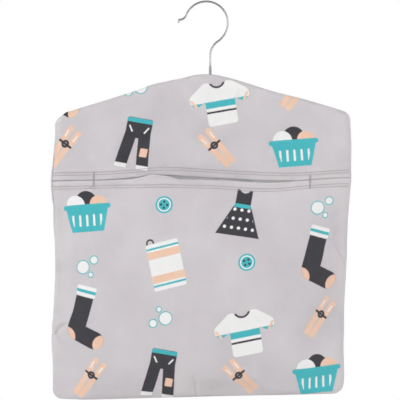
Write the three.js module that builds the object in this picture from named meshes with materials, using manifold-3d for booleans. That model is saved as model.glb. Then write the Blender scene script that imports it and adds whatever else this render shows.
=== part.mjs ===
// Peg bag: a cotton bag sewn round a small wooden coat hanger, hung by a wire hook that swivels in the wood.
// The front is two panels. Their turned hems meet at a mouth that a hand reaches through, closed at each end
// by a bar tack. Front and back are sewn together inside out, so every seam allowance lies inside the bag.
//
// Millimetres, +Z up, +X to the right seen from the front, and the front faces -Y.
// The origin is the seat inside the top of the hook's loop, where a washing line carries the bag.

import * as THREE from 'three';
import { mergeVertices } from 'three/addons/utils/BufferGeometryUtils.js';
import Module from 'manifold-3d';

const wasm = await Module();
wasm.setup();

// Fits
const GAP = 0.3; // between pieces that touch or are sewn together
const HOLE_EASE = 0.6; // round the hook where it comes through the cloth

// Hook: one length of wire with a rolled thread on its foot
const WIRE_DIAMETER = 2.0;
const LOOP_RADIUS = 21.5; // to the middle of the wire
const LIP_ANGLE = 159; // degrees round the loop from +X, where the lip bends away
const LIP_RADIUS = 7.0;
const TIP_BEND_RADIUS = 1.5; // the end of the lip is turned down
const TIP_LENGTH = 2.2;
const STEM_OFFSET = 4.0; // stem to the right of the loop's middle
const NECK_RADIUS = 14.0; // bend from the loop into the stem
const STEM_SHOWN = 20.4; // from the neck bend down to the cloth
const SHANK_DIAMETER = 2.9; // over the rolled thread
const SHANK_SHOWN = 6.8; // thread above the cloth
const SHANK_SUNK = 24.0; // thread in the wood

// Hanger: a flat bar with a round crown, straight sloping arms and rounded edges
const HANGER_THICKNESS = 11.0;
const HANGER_NECK_HEIGHT = 38.0; // in the middle
const HANGER_ARM_HEIGHT = 22.0; // at the ends
const HANGER_EDGE_ROUND = 3.5;
const HANGER_TIP_RADIUS = 9.0;
const HANGER_END_EASE = 2.4; // from its ends to the seam allowance
const SHOULDER_SLOPE = 0.315; // fall of the arms
const CROWN_SOFTNESS = 22.0; // the larger, the rounder the crown

// Bag, seen from the front
const BAG_LENGTH = 322.0; // crown to bottom seam
const SHOULDER_WIDTH = 295.6;
const MOUTH_LEVEL_WIDTH = 299.4;
const BASE_WIDTH = 290.6;
const WAIST_LENGTH = 75.0; // below the mouth, over which the sides draw in to the base width
const SHOULDER_CORNER = 9.0;
const BASE_CORNER = 11.0;
const BAG_SHIFT = -4.0; // the bag has slid along its hanger
const BAG_LEAN = -5.0; // sideways by the bottom seam
const BASE_TILT = 0.026; // the bottom seam's slope, as it hangs

// Mouth
const MOUTH_DROP = 105.2; // crown to mouth
const MOUTH_OPENING = 216.0; // between the bar tacks
const MOUTH_GAPE = 14.0; // the lower lip stands forward of the upper panel
const MOUTH_SLIT = 1.8; // between the hems in the middle, seen from the front
const LIP_LENGTH = 90.0; // over which the lip's bow fades into the pouch
const HEM_WIDTH = 10.0;
const HEM_TURNING = 1.2; // cloth turned under twice, behind the panel
const STITCH_INSETS = { inner: 6.0, outer: 8.6 }; // twin rows, from the mouth's edge
const STITCH_THREAD = 0.7;
const TACK_LENGTH = 15.6;
const TACK_WIDTH = 1.8;
const TACK_THICKNESS = 0.8;

// Cloth and its fullness
const CLOTH = 0.8;
const TOP_ROLL = 7.0; // over the top of the hanger
const END_ROLL = 6.0; // round the ends of the hanger
const SIDE_ROLL = 40.0; // from a side seam out to the flat of the bag, below the hanger
const BASE_ROLL = 45.0; // the same above the bottom seam
const POUCH_BULGE = 16.0; // the pouch's front, past the flat
const POUCH_RISE = 110.0; // above the bottom seam, to its fullest
const SEAM_ALLOWANCE = 5.0;
const SHOULDER_ALLOWANCE = 3.0; // flattened on top of the hanger
const SEAM_THICKNESS = 1.2;
const SEAM_RECESS = 0.4; // from the bag's edge

// Finishes
const STEEL = { color: 0xa9a9ab, roughness: 0.32, metalness: 1.0 };
const BEECH = { color: 0xcfae84, roughness: 0.6, metalness: 0.0 };
const COTTON = { color: 0xcbc6c9, roughness: 0.92, metalness: 0.0 };
const COTTON_REVERSE = { color: 0xdedbdc, roughness: 0.95, metalness: 0.0 };
const THREAD = { color: 0xa9a4a8, roughness: 0.8, metalness: 0.0 };

const { lerp, clamp, degToRad } = THREE.MathUtils;
const smooth = (x) => THREE.MathUtils.smoothstep(x, 0, 1);

// Levels and places that follow from the sizes
const loopZ = -(LOOP_RADIUS - WIRE_DIAMETER / 2);
const neckX = STEM_OFFSET + NECK_RADIUS;
const neckZ = loopZ - Math.sqrt((LOOP_RADIUS + NECK_RADIUS) ** 2 - neckX ** 2);
const crownZ = neckZ - STEM_SHOWN;
const mouthZ = crownZ - MOUTH_DROP;
const baseZ = crownZ - BAG_LENGTH;
const crownFall = (x) => SHOULDER_SLOPE * (Math.hypot(x, CROWN_SOFTNESS) - CROWN_SOFTNESS);
const hangerRoom = SEAM_RECESS + SHOULDER_ALLOWANCE + GAP; // from the top of the cloth to the wood
const hangerHalf =
  SHOULDER_WIDTH / 2 - Math.abs(BAG_SHIFT) - SEAM_RECESS - SEAM_ALLOWANCE - HANGER_END_EASE;
const hangerTop = (x) => crownZ - hangerRoom - crownFall(x);
const hangerFootZ = hangerTop(hangerHalf) - HANGER_ARM_HEIGHT;
const shoulderZ = crownZ - crownFall(SHOULDER_WIDTH / 2);
const edgeY = SEAM_THICKNESS / 2 + GAP; // where a panel's edge meets the seam allowance
const flatY = HANGER_THICKNESS / 2 + GAP + CLOTH; // outside of the cloth over the hanger
const holeRadius = SHANK_DIAMETER / 2 + HOLE_EASE;

// How the bag hangs: s runs from -1 at the left side to 1 at the right, and t is the height before the tilt
const fallen = (t) => clamp((shoulderZ - t) / (shoulderZ - baseZ), 0, 1);

function halfWidth(t) {
  const above = smooth((t - mouthZ) / (shoulderZ - mouthZ));
  const below = smooth((mouthZ - t) / WAIST_LENGTH);
  const width = t > mouthZ
    ? lerp(MOUTH_LEVEL_WIDTH, SHOULDER_WIDTH, above)
    : lerp(MOUTH_LEVEL_WIDTH, BASE_WIDTH, below);
  return width / 2;
}

function hang(s, t, y) {
  const x = BAG_SHIFT + BAG_LEAN * fallen(t) + s * halfWidth(t);
  const z = t + BASE_TILT * Math.sqrt(fallen(t)) * x;
  return new THREE.Vector3(x, y, z);
}

// A corner of radius r, as the height that it takes off at a distance d from the side
const cornerFall = (d, r) => (d < r ? r - Math.sqrt(r * r - (r - d) * (r - d)) : 0);
const fromSide = (s, t) => (1 - Math.abs(s)) * halfWidth(t);
const topAt = (s) =>
  crownZ - crownFall(BAG_SHIFT + s * SHOULDER_WIDTH / 2) - cornerFall(fromSide(s, shoulderZ), SHOULDER_CORNER);
const baseAt = (s) => baseZ + cornerFall(fromSide(s, baseZ), BASE_CORNER);

// The lip's bow, 1 in the middle of the mouth and 0 at the bar tacks
function mouthBow(s) {
  const share = (s * halfWidth(mouthZ)) / (MOUTH_OPENING / 2);
  return Math.abs(share) < 1 ? (1 - share * share) ** 2 : 0;
}
const slitHalf = (s) => (GAP + (MOUTH_SLIT - GAP) * mouthBow(s)) / 2;

// A quarter ellipse: 0 at an edge, 1 from a distance of length inwards
const roll = (d, length) => Math.sqrt(1 - (1 - clamp(d / length, 0, 1)) ** 2);
const sideRoll = (s, t) =>
  roll(fromSide(s, t), lerp(END_ROLL, SIDE_ROLL, smooth((hangerFootZ - t) / SIDE_ROLL)));

// Outside surfaces of the cloth
const flat = flatY - edgeY;

function upperFront(s, t) {
  return hang(s, t, -(edgeY + flat * sideRoll(s, t) * roll(topAt(s) - t, TOP_ROLL)));
}

function lowerFront(s, t) {
  const height = t - baseAt(s);
  const pouch = POUCH_BULGE * (1 - s * s) * roll(height, POUCH_RISE);
  const bulge = lerp(MOUTH_GAPE * mouthBow(s), pouch, smooth((mouthZ - t) / LIP_LENGTH));
  return hang(s, t, -(edgeY + flat * sideRoll(s, t) * roll(height, BASE_ROLL) + bulge));
}

function back(s, t) {
  const ends = roll(topAt(s) - t, TOP_ROLL) * roll(t - baseAt(s), BASE_ROLL);
  return hang(s, t, edgeY + flat * sideRoll(s, t) * ends);
}

// The outward normal, measured a little way in from the edges, where the cloth stands square to the seam
const NORMAL_STEP = 0.05;
const NORMAL_INSET = 0.25;

function outward(surface, s, t, low, high, sign) {
  const inS = clamp(s, -1 + NORMAL_INSET / halfWidth(t), 1 - NORMAL_INSET / halfWidth(t));
  const inT = clamp(t, low + NORMAL_INSET, high - NORMAL_INSET);
  const stepS = NORMAL_STEP / halfWidth(t);
  const across = surface(inS + stepS, inT).sub(surface(inS - stepS, inT));
  const along = surface(inS, inT + NORMAL_STEP).sub(surface(inS, inT - NORMAL_STEP));
  return across.cross(along).multiplyScalar(sign).normalize();
}

// Closed solids from points
function geometryOf(points, triangles) {
  const geometry = new THREE.BufferGeometry();
  const places = points.flatMap((point) => point.toArray());
  geometry.setAttribute('position', new THREE.Float32BufferAttribute(places, 3));
  geometry.setIndex(triangles);
  return geometry;
}

// A slab between two grids of points with the same rows and columns. The front grid faces -Y.
function slab(front, rear) {
  const rows = front.length;
  const columns = front[0].length;
  const points = [...front.flat(), ...rear.flat()];
  const triangles = [];
  const quad = (a, b, c, d) => triangles.push(a, b, c, a, c, d);
  const f = (i, j) => i * columns + j;
  const r = (i, j) => rows * columns + i * columns + j;
  for (let i = 0; i + 1 < rows; i += 1) {
    for (let j = 0; j + 1 < columns; j += 1) {
      quad(f(i, j), f(i, j + 1), f(i + 1, j + 1), f(i + 1, j));
      quad(r(i, j), r(i + 1, j), r(i + 1, j + 1), r(i, j + 1));
    }
    quad(f(i, 0), f(i + 1, 0), r(i + 1, 0), r(i, 0));
    quad(f(i + 1, columns - 1), f(i, columns - 1), r(i, columns - 1), r(i + 1, columns - 1));
  }
  for (let j = 0; j + 1 < columns; j += 1) {
    quad(f(0, j + 1), f(0, j), r(0, j), r(0, j + 1));
    quad(f(rows - 1, j), f(rows - 1, j + 1), r(rows - 1, j + 1), r(rows - 1, j));
  }
  return geometryOf(points, triangles);
}

// A tube through stations, each with its place, radius and the two unit vectors that span its section
function tube(stations, sides) {
  const points = [];
  const triangles = [];
  for (const { at, radius, u, v } of stations) {
    for (let k = 0; k < sides; k += 1) {
      const turn = (2 * Math.PI * k) / sides;
      const spoke = u.clone().multiplyScalar(radius * Math.cos(turn));
      points.push(spoke.addScaledVector(v, radius * Math.sin(turn)).add(at));
    }
  }
  const last = (stations.length - 1) * sides;
  for (let i = 0; i < last; i += sides) {
    for (let k = 0; k < sides; k += 1) {
      const next = (k + 1) % sides;
      triangles.push(i + k, i + next, i + sides + next);
      triangles.push(i + k, i + sides + next, i + sides + k);
    }
  }
  for (let k = 1; k + 1 < sides; k += 1) {
    triangles.push(0, k + 1, k);
    triangles.push(last, last + k, last + k + 1);
  }
  return geometryOf(points, triangles);
}

function solidOf(geometry) {
  const bare = geometry.clone();
  bare.deleteAttribute('normal');
  bare.deleteAttribute('uv');
  const merged = mergeVertices(bare, 1e-4);
  return new wasm.Manifold(new wasm.Mesh({
    numProp: 3,
    vertProperties: new Float32Array(merged.attributes.position.array),
    triVerts: new Uint32Array(merged.index.array),
  }));
}

function cut(geometry, tool) {
  const mesh = solidOf(geometry).subtract(solidOf(tool)).getMesh();
  const made = new THREE.BufferGeometry();
  made.setAttribute('position', new THREE.BufferAttribute(new Float32Array(mesh.vertProperties), 3));
  made.setIndex(new THREE.BufferAttribute(new Uint32Array(mesh.triVerts), 1));
  return made;
}

// An upright cylinder on the stem's axis
const DRILL_SIDES = 16;

function drill(radius, top, length) {
  const cylinder = new THREE.CylinderGeometry(radius, radius, length, DRILL_SIDES);
  cylinder.rotateX(Math.PI / 2);
  cylinder.translate(STEM_OFFSET, 0, top - length / 2);
  return cylinder;
}

const root = new THREE.Group();
root.name = 'peg_bag';

function add(name, geometry, finish) {
  const mesh = new THREE.Mesh(geometry, new THREE.MeshStandardMaterial(finish));
  mesh.name = name;
  root.add(mesh);
}

// Hook
const WIRE_SIDES = 12;
const WIRE_STEP = degToRad(10);

function wireArc(centreX, centreZ, radius, from, to) {
  const count = Math.max(3, Math.ceil(Math.abs(to - from) / WIRE_STEP));
  const way = Math.sign(to - from);
  return Array.from({ length: count + 1 }, (_, i) => {
    const angle = lerp(from, to, i / count);
    return {
      at: new THREE.Vector3(centreX + radius * Math.cos(angle), 0, centreZ + radius * Math.sin(angle)),
      heading: new THREE.Vector3(-way * Math.sin(angle), 0, way * Math.cos(angle)),
    };
  });
}

function hookGeometry() {
  const lipAngle = degToRad(LIP_ANGLE);
  const lipX = (LOOP_RADIUS + LIP_RADIUS) * Math.cos(lipAngle);
  const lipZ = loopZ + (LOOP_RADIUS + LIP_RADIUS) * Math.sin(lipAngle);
  const lipLowZ = lipZ - LIP_RADIUS;
  const neckAngle = -Math.acos(neckX / (LOOP_RADIUS + NECK_RADIUS));
  const wire = WIRE_DIAMETER / 2;
  const shank = SHANK_DIAMETER / 2;
  const down = new THREE.Vector3(0, 0, -1);
  const up = new THREE.Vector3(0, 0, 1);
  const tip = new THREE.Vector3(lipX - TIP_BEND_RADIUS, 0, lipLowZ - TIP_BEND_RADIUS - TIP_LENGTH);
  const path = [
    { at: tip, heading: up, radius: wire * 0.6 },
    { at: tip.clone().addScaledVector(up, wire * 0.4), heading: up },
    ...wireArc(lipX, lipLowZ - TIP_BEND_RADIUS, TIP_BEND_RADIUS, Math.PI, Math.PI / 2),
    ...wireArc(lipX, lipZ, LIP_RADIUS, -Math.PI / 2, lipAngle - Math.PI).slice(1),
    ...wireArc(0, loopZ, LOOP_RADIUS, lipAngle, neckAngle).slice(1),
    ...wireArc(neckX, neckZ, NECK_RADIUS, neckAngle + Math.PI, Math.PI).slice(1),
  ];
  const footZ = crownZ - hangerRoom - SHANK_SUNK;
  const foot = [
    [crownZ + SHANK_SHOWN + (shank - wire), wire],
    [crownZ + SHANK_SHOWN, shank],
    [footZ + shank, shank],
    [footZ, shank * 0.4],
  ];
  for (const [z, radius] of foot) {
    path.push({ at: new THREE.Vector3(STEM_OFFSET, 0, z), heading: down, radius });
  }
  const across = new THREE.Vector3(0, 1, 0);
  const stations = path.map(({ at, heading, radius = wire }) => ({
    at,
    radius,
    u: across,
    v: heading.clone().cross(across),
  }));
  return tube(stations, WIRE_SIDES);
}

// Hanger
const HANGER_STEPS = 28;

function hangerGeometry() {
  const outline = new THREE.Shape();
  const height = (x) =>
    lerp(HANGER_NECK_HEIGHT, HANGER_ARM_HEIGHT, smooth(Math.abs(x) / hangerHalf));
  const straight = hangerHalf - HANGER_TIP_RADIUS;
  const at = (i) => lerp(-straight, straight, i / HANGER_STEPS);
  outline.moveTo(at(0), hangerTop(at(0)));
  for (let i = 1; i <= HANGER_STEPS; i += 1) {
    outline.lineTo(at(i), hangerTop(at(i)));
  }
  const endTop = hangerTop(hangerHalf);
  const endFoot = hangerTop(straight) - height(straight);
  outline.quadraticCurveTo(hangerHalf, endTop, hangerHalf, lerp(endTop, endFoot, 0.5));
  outline.quadraticCurveTo(hangerHalf, endFoot, straight, endFoot);
  for (let i = HANGER_STEPS - 1; i >= 0; i -= 1) {
    outline.lineTo(at(i), hangerTop(at(i)) - height(at(i)));
  }
  outline.quadraticCurveTo(-hangerHalf, endFoot, -hangerHalf, lerp(endTop, endFoot, 0.5));
  outline.quadraticCurveTo(-hangerHalf, endTop, at(0), hangerTop(at(0)));
  const bar = new THREE.ExtrudeGeometry(outline, {
    depth: HANGER_THICKNESS - 2 * HANGER_EDGE_ROUND,
    bevelThickness: HANGER_EDGE_ROUND,
    bevelSize: HANGER_EDGE_ROUND,
    bevelOffset: -HANGER_EDGE_ROUND,
    bevelSegments: 3,
    curveSegments: 5,
  });
  bar.translate(0, 0, HANGER_EDGE_ROUND - HANGER_THICKNESS / 2);
  bar.rotateX(Math.PI / 2);
  return cut(bar, drill(SHANK_DIAMETER / 2 + GAP, crownZ, hangerRoom + SHANK_SUNK + GAP));
}

// Panels
const ROLL_ANGLES = [0, 12, 25, 40, 58, 76, 90].map(degToRad);
const HEM_STEP = 0.5;

// Shares across a panel: close together at the sides, where the cloth rolls over, and even between
function columnsOf(count) {
  const half = SHOULDER_WIDTH / 2;
  const left = ROLL_ANGLES.map((angle) => -1 + (SIDE_ROLL * (1 - Math.cos(angle))) / half);
  const inner = -left[left.length - 1];
  const middle = Array.from({ length: count - 1 }, (_, i) => lerp(-inner, inner, (i + 1) / count));
  return [...left, ...middle, ...left.map((s) => -s).reverse()];
}

// Heights in one column, from low to high, close together where the cloth rolls into a seam
function heightsOf(low, high, lowRoll, highRoll, count, hemAt) {
  const rise = ROLL_ANGLES.map((angle) => 1 - Math.cos(angle));
  const lower = lowRoll ? rise.map((share) => low + lowRoll * share) : [low];
  const upper = highRoll ? rise.map((share) => high - highRoll * share).reverse() : [high];
  const hem = (inset) => (hemAt === 'low' ? low + inset : high - inset);
  const band = hemAt === 'low' ? [hem(HEM_WIDTH), hem(HEM_WIDTH + HEM_STEP)] : [];
  const topBand = hemAt === 'high' ? [hem(HEM_WIDTH + HEM_STEP), hem(HEM_WIDTH)] : [];
  const start = band.length ? band[band.length - 1] : lower[lower.length - 1];
  const end = topBand.length ? topBand[0] : upper[0];
  const middle = Array.from({ length: count - 1 }, (_, i) => lerp(start, end, (i + 1) / count));
  return [...lower, ...band, ...middle, ...topBand, ...upper];
}

// A panel of cloth, thicker by the turning wherever it lies within the hem. Its edge lies flat along the seam.
function panelGeometry(surface, sign, columns, low, high, rolls, count, hemAt) {
  const outer = [];
  const inner = [];
  columns.forEach((s) => {
    const heights = heightsOf(low(s), high(s), rolls.low, rolls.high, count, hemAt);
    heights.forEach((t, i) => {
      const hemmed =
        (hemAt === 'low' && t <= low(s) + HEM_WIDTH + HEM_STEP / 2) ||
        (hemAt === 'high' && t >= high(s) - HEM_WIDTH - HEM_STEP / 2);
      const point = surface(s, t);
      const normal = outward(surface, s, t, low(s), high(s), sign);
      const depth = CLOTH + (hemmed ? HEM_TURNING : 0);
      const inside = point.clone().addScaledVector(normal, -depth);
      inside.y = -sign * Math.max(edgeY, -sign * inside.y);
      (outer[i] ??= []).push(point);
      (inner[i] ??= []).push(inside);
    });
  });
  return sign > 0 ? slab(outer, inner) : slab(inner, outer);
}

const upperEdge = (s) => mouthZ + slitHalf(s);
const lowerEdge = (s) => mouthZ - slitHalf(s);
const hookHole = drill(holeRadius, crownZ + TOP_ROLL, 2 * TOP_ROLL);

const frontColumns = columnsOf(22);
const backColumns = columnsOf(8);
const upperPanel = panelGeometry(
  upperFront, 1, frontColumns, upperEdge, topAt, { low: 0, high: TOP_ROLL }, 3, 'low');
const lowerPanel = panelGeometry(
  lowerFront, 1, frontColumns, baseAt, lowerEdge, { low: BASE_ROLL, high: 0 }, 6, 'high');
const backPanel = panelGeometry(
  back, -1, backColumns, baseAt, topAt, { low: BASE_ROLL, high: TOP_ROLL }, 8);

// Seam allowances: two raw edges overlocked together, standing between the panels
function allowance(columns, low, high, steps) {
  const shares = Array.from({ length: steps + 1 }, (_, i) => i / steps);
  const grid = (y) => shares.map((share) => columns.map((s) => hang(s, lerp(low(s), high(s), share), y)));
  return slab(grid(-SEAM_THICKNESS / 2), grid(SEAM_THICKNESS / 2));
}

const sideShare = (inset) => 1 - inset / (SHOULDER_WIDTH / 2);
const seamOuter = sideShare(SEAM_RECESS);
const seamInner = sideShare(SEAM_RECESS + SEAM_ALLOWANCE);

const SIDE_SEAM_STEPS = 16;

function sideSeam(side) {
  const top = topAt(side) - SEAM_RECESS - SHOULDER_ALLOWANCE - GAP;
  const foot = baseAt(side) + SEAM_RECESS + SEAM_ALLOWANCE + GAP;
  const columns = [seamOuter * side, seamInner * side].sort((a, b) => a - b);
  return allowance(columns, () => foot, () => top, SIDE_SEAM_STEPS);
}

// Shares between two shares, close together towards the corners
function seamColumns(from, to, count) {
  const ease = (x) => 0.5 - 0.5 * Math.cos(Math.PI * x);
  return Array.from({ length: count + 1 }, (_, i) => lerp(from, to, ease(i / count)));
}

function shoulderSeam(from, to) {
  const high = (s) => topAt(s) - SEAM_RECESS;
  return allowance(seamColumns(from, to, 24), (s) => high(s) - SHOULDER_ALLOWANCE, high, 1);
}

function bottomSeam() {
  const low = (s) => baseAt(s) + SEAM_RECESS;
  return allowance(seamColumns(-seamOuter, seamOuter, 32), low, (s) => low(s) + SEAM_ALLOWANCE, 1);
}

const shareAt = (x) => (x - BAG_SHIFT) / (SHOULDER_WIDTH / 2);
const stemLeft = shareAt(STEM_OFFSET - holeRadius - GAP);
const stemRight = shareAt(STEM_OFFSET + holeRadius + GAP);

// Topstitching and bar tacks: thread that lies on the outside of the hems
const THREAD_SIDES = 6;
const HEADING_STEP = 1e-3;

function stitchRow(surface, edge, inset, low, high) {
  const along = (s) => surface(s, edge(s) + inset);
  const shares = frontColumns.filter((s) => Math.abs(s) < seamInner);
  const stations = shares.map((s) => {
    const normal = outward(surface, s, edge(s) + inset, low(s), high(s), 1);
    const heading = along(s + HEADING_STEP).sub(along(s - HEADING_STEP));
    return {
      at: along(s).addScaledVector(normal, GAP + STITCH_THREAD / 2),
      radius: STITCH_THREAD / 2,
      u: normal,
      v: heading.cross(normal).normalize(),
    };
  });
  return tube(stations, THREAD_SIDES);
}

const TACK_ROWS = 8;

function barTack(side) {
  const lift = GAP + STITCH_THREAD + GAP; // over the inner rows of topstitching
  const s = (side * MOUTH_OPENING) / 2 / halfWidth(mouthZ);
  const half = TACK_WIDTH / 2 / halfWidth(mouthZ);
  const grid = (offset) => Array.from({ length: TACK_ROWS + 1 }, (_, i) => {
    const t = mouthZ + lerp(-TACK_LENGTH, TACK_LENGTH, i / TACK_ROWS) / 2;
    const surface = t > mouthZ ? upperFront : lowerFront;
    return [s - half, s + half].map((share) => {
      const normal = outward(upperFront, share, t, mouthZ - TACK_LENGTH, topAt(share), 1);
      return surface(share, t).addScaledVector(normal, offset);
    });
  });
  return slab(grid(lift + TACK_THICKNESS), grid(lift));
}

// The assembly
add('hook', hookGeometry(), STEEL);
add('hanger_bar', hangerGeometry(), BEECH);
add('back_panel', cut(backPanel, hookHole), COTTON);
add('front_upper_panel', cut(upperPanel, hookHole), COTTON);
add('front_lower_panel', lowerPanel, COTTON);
add('left_shoulder_seam', shoulderSeam(-seamOuter, stemLeft), COTTON_REVERSE);
add('right_shoulder_seam', shoulderSeam(stemRight, seamOuter), COTTON_REVERSE);
add('left_side_seam', sideSeam(-1), COTTON_REVERSE);
add('right_side_seam', sideSeam(1), COTTON_REVERSE);
add('bottom_seam', bottomSeam(), COTTON_REVERSE);
for (const [row, inset] of Object.entries(STITCH_INSETS)) {
  add(`upper_hem_stitch_${row}`, stitchRow(upperFront, upperEdge, inset, upperEdge, topAt), THREAD);
  add(`lower_hem_stitch_${row}`, stitchRow(lowerFront, lowerEdge, -inset, baseAt, lowerEdge), THREAD);
}
add('left_bar_tack', barTack(-1), THREAD);
add('right_bar_tack', barTack(1), THREAD);

export default root;
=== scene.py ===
"""Looks of the peg bag: draped cotton panels, their sewing, the plated wire hook and the studio."""

import logging
import math
from dataclasses import dataclass, field
from enum import Enum
from functools import partial
from typing import Callable

import bmesh
import bpy
import numpy as np
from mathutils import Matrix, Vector


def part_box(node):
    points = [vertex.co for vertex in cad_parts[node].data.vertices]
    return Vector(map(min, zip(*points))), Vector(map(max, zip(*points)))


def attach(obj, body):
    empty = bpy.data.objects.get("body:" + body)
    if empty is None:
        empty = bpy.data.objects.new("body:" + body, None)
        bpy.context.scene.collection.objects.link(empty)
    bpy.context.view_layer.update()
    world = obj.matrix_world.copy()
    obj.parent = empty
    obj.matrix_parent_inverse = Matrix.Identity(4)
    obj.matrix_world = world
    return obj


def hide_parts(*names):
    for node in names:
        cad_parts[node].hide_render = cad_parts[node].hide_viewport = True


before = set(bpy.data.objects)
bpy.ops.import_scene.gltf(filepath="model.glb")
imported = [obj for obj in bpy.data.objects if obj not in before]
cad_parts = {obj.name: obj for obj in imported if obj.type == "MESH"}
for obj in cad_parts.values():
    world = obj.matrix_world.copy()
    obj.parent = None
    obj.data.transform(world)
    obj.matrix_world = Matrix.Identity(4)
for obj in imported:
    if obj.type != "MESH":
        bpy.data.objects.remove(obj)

LOG = logging.getLogger("peg_bag")
MM = 0.001
IMAGE_PX = 400
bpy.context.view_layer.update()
PATTERN = "pattern"
WHITE = (1.0, 1.0, 1.0, 1.0)

Grid = np.ndarray
Edge = Callable[[Grid], Grid]
Surface = Callable[[Grid, Grid], Grid]
Source = bpy.types.Node | bpy.types.NodeSocket
Ripple = tuple[float, float, float]
Wave = tuple[float, float, float]


class Finish(Enum):
    """Names of the record's material slots; nothing in this script uses them."""

    STEEL = "plated_steel"
    CLOTH = "printed_cotton"
    EDGE = "overlocked_edge"
    THREAD = "sewing_thread"


class Body(Enum):
    """Bodies of the frame that the pieces ride on."""

    HOOK = "hook"
    BAG = "bag"


def linear(code: str) -> tuple[float, float, float, float]:
    """Turns an sRGB hex colour into linear light.

    Args:
        code: six hex digits after a hash.
    Returns:
        Red, green, blue and an alpha of 1.
    """
    shares = [int(code[i:i + 2], 16) / 255 for i in (1, 3, 5)]
    light = [c / 12.92 if c <= 0.04045 else ((c + 0.055) / 1.055) ** 2.4 for c in shares]
    return (*light, 1.0)


def plug(tree: bpy.types.NodeTree, made: bpy.types.Node, links: dict) -> None:
    """Fills in a node's inputs.

    Args:
        tree: the node tree.
        made: the node.
        links: input name or number, and what goes in: a node, for its first output in use, a socket or
            a plain value.
    """
    for key, value in links.items():
        if isinstance(value, bpy.types.Node):
            value = next(socket for socket in value.outputs if socket.enabled)
        if isinstance(value, bpy.types.NodeSocket):
            tree.links.new(value, made.inputs[key])
        else:
            made.inputs[key].default_value = value


def add_node(tree: bpy.types.NodeTree, kind: str, links: dict | None = None, **settings) -> bpy.types.Node:
    """Adds a node to a tree with its settings and inputs.

    Args:
        tree: the node tree.
        kind: the node's type name.
        links: its inputs, as plug takes them.
        settings: the node's own properties.
    Returns:
        The new node.
    """
    made = tree.nodes.new(kind)
    for name, value in settings.items():
        setattr(made, name, value)
    plug(tree, made, links or {})
    return made


def smooth(x: Grid) -> Grid:
    """Eases from 0 to 1 as x does, flat at both ends."""
    share = np.clip(x, 0.0, 1.0)
    return share * share * (3.0 - 2.0 * share)


def bump(x: Grid, middle: float, width: float | Grid) -> Grid:
    """A soft hump of height 1 at middle, about width to each side."""
    return np.exp(-(((x - middle) / width) ** 2))


def rippled(x: Grid, ripples: tuple[Ripple, ...]) -> Grid:
    """Sum of soft humps, each with its height, middle and reach."""
    return sum(height * bump(x, middle, reach) for height, middle, reach in ripples)


def waved(x: Grid, waves: tuple[Wave, ...]) -> Grid:
    """Sum of sine waves, each with its height, its length over a radian and its start."""
    return sum(height * np.sin(x / length + start) for height, length, start in waves)


def mix(a: Grid, b: Grid, share: Grid) -> Grid:
    """A value between a and b."""
    return a + (b - a) * share


def roll(d: Grid, length: Grid) -> Grid:
    """A quarter ellipse: 0 at an edge, 1 from length inwards."""
    share = np.clip(d / length, 0.0, 1.0)
    return np.sqrt(np.maximum(1.0 - (1.0 - share) ** 2, 0.0))


def add_object(name: str, data: bpy.types.ID) -> bpy.types.Object:
    """Puts a mesh, a lamp or a camera into the scene, at the origin.

    Args:
        name: the object's name.
        data: the mesh, the lamp or the camera.
    Returns:
        The object.
    """
    made = bpy.data.objects.new(name, data)
    bpy.context.scene.collection.objects.link(made)
    return made


def mesh_object(name: str, places: Grid, faces: list, materials: list, slots: list | None = None,
                pattern: Grid | None = None) -> bpy.types.Object:
    """Makes a smooth mesh object at the origin.

    Args:
        name: the piece's name.
        places: points in millimetres, one row each.
        faces: point numbers of each face.
        materials: the mesh's materials.
        slots: each face's material number, all 0 if left out.
        pattern: each point's place on the flat cloth, in millimetres.
    Returns:
        The object, linked to the scene.
    """
    mesh = bpy.data.meshes.new(name)
    mesh.from_pydata((places * MM).tolist(), [], faces)
    for material in materials:
        mesh.materials.append(material)
    if slots is not None:
        mesh.polygons.foreach_set("material_index", np.asarray(slots, dtype=np.int32))
    if pattern is not None:
        corners = np.empty(len(mesh.loops), dtype=np.int32)
        mesh.loops.foreach_get("vertex_index", corners)
        layer = mesh.uv_layers.new(name=PATTERN)
        layer.data.foreach_set("uv", (pattern[corners] * MM).astype(np.float32).ravel())
    mesh.shade_smooth()
    mesh.update()
    return add_object(name, mesh)


def enter(made: bpy.types.Object, body: Body, node: str | None = None) -> bpy.types.Object:
    """Enters a piece in the frame.

    Args:
        made: the piece.
        body: the body that it rides on.
        node: the solid that it stands for, if it has one.
    Returns:
        The piece.
    """
    if node is not None:
        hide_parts(node)
    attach(made, body.value)
    return made


@dataclass(frozen=True)
class Crease:
    """A soft crease pressed into the cloth, in millimetres across and up; a depth below 0 stands out."""

    start: tuple[float, float]
    end: tuple[float, float]
    depth: float
    width: float
    end_share: float = 0.25

    def height(self, places: Grid) -> Grid:
        """How far the crease moves points of the cloth, outwards.

        Args:
            places: points of the cloth.
        Returns:
            Heights in millimetres.
        """
        way = np.subtract(self.end, self.start)
        rel = places[..., [0, 2]] - self.start
        share = np.clip(rel @ way / (way @ way), 0.0, 1.0)
        far = np.linalg.norm(rel - share[..., None] * way, axis=-1)
        return -self.depth * bump(far, 0.0, self.width) * (self.end_share + np.sin(math.pi * share))


@dataclass(frozen=True)
class Waver:
    """Where a side of the bag stands in or out a little, in millimetres."""

    side: float
    height: float
    reach: float
    shift: float

    def at(self, s: Grid, t: Grid) -> Grid:
        """How far it moves points of the cloth, to the right."""
        return self.shift * bump(t, self.height, self.reach) * np.clip(self.side * s, 0.0, 1.0) ** 3


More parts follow.
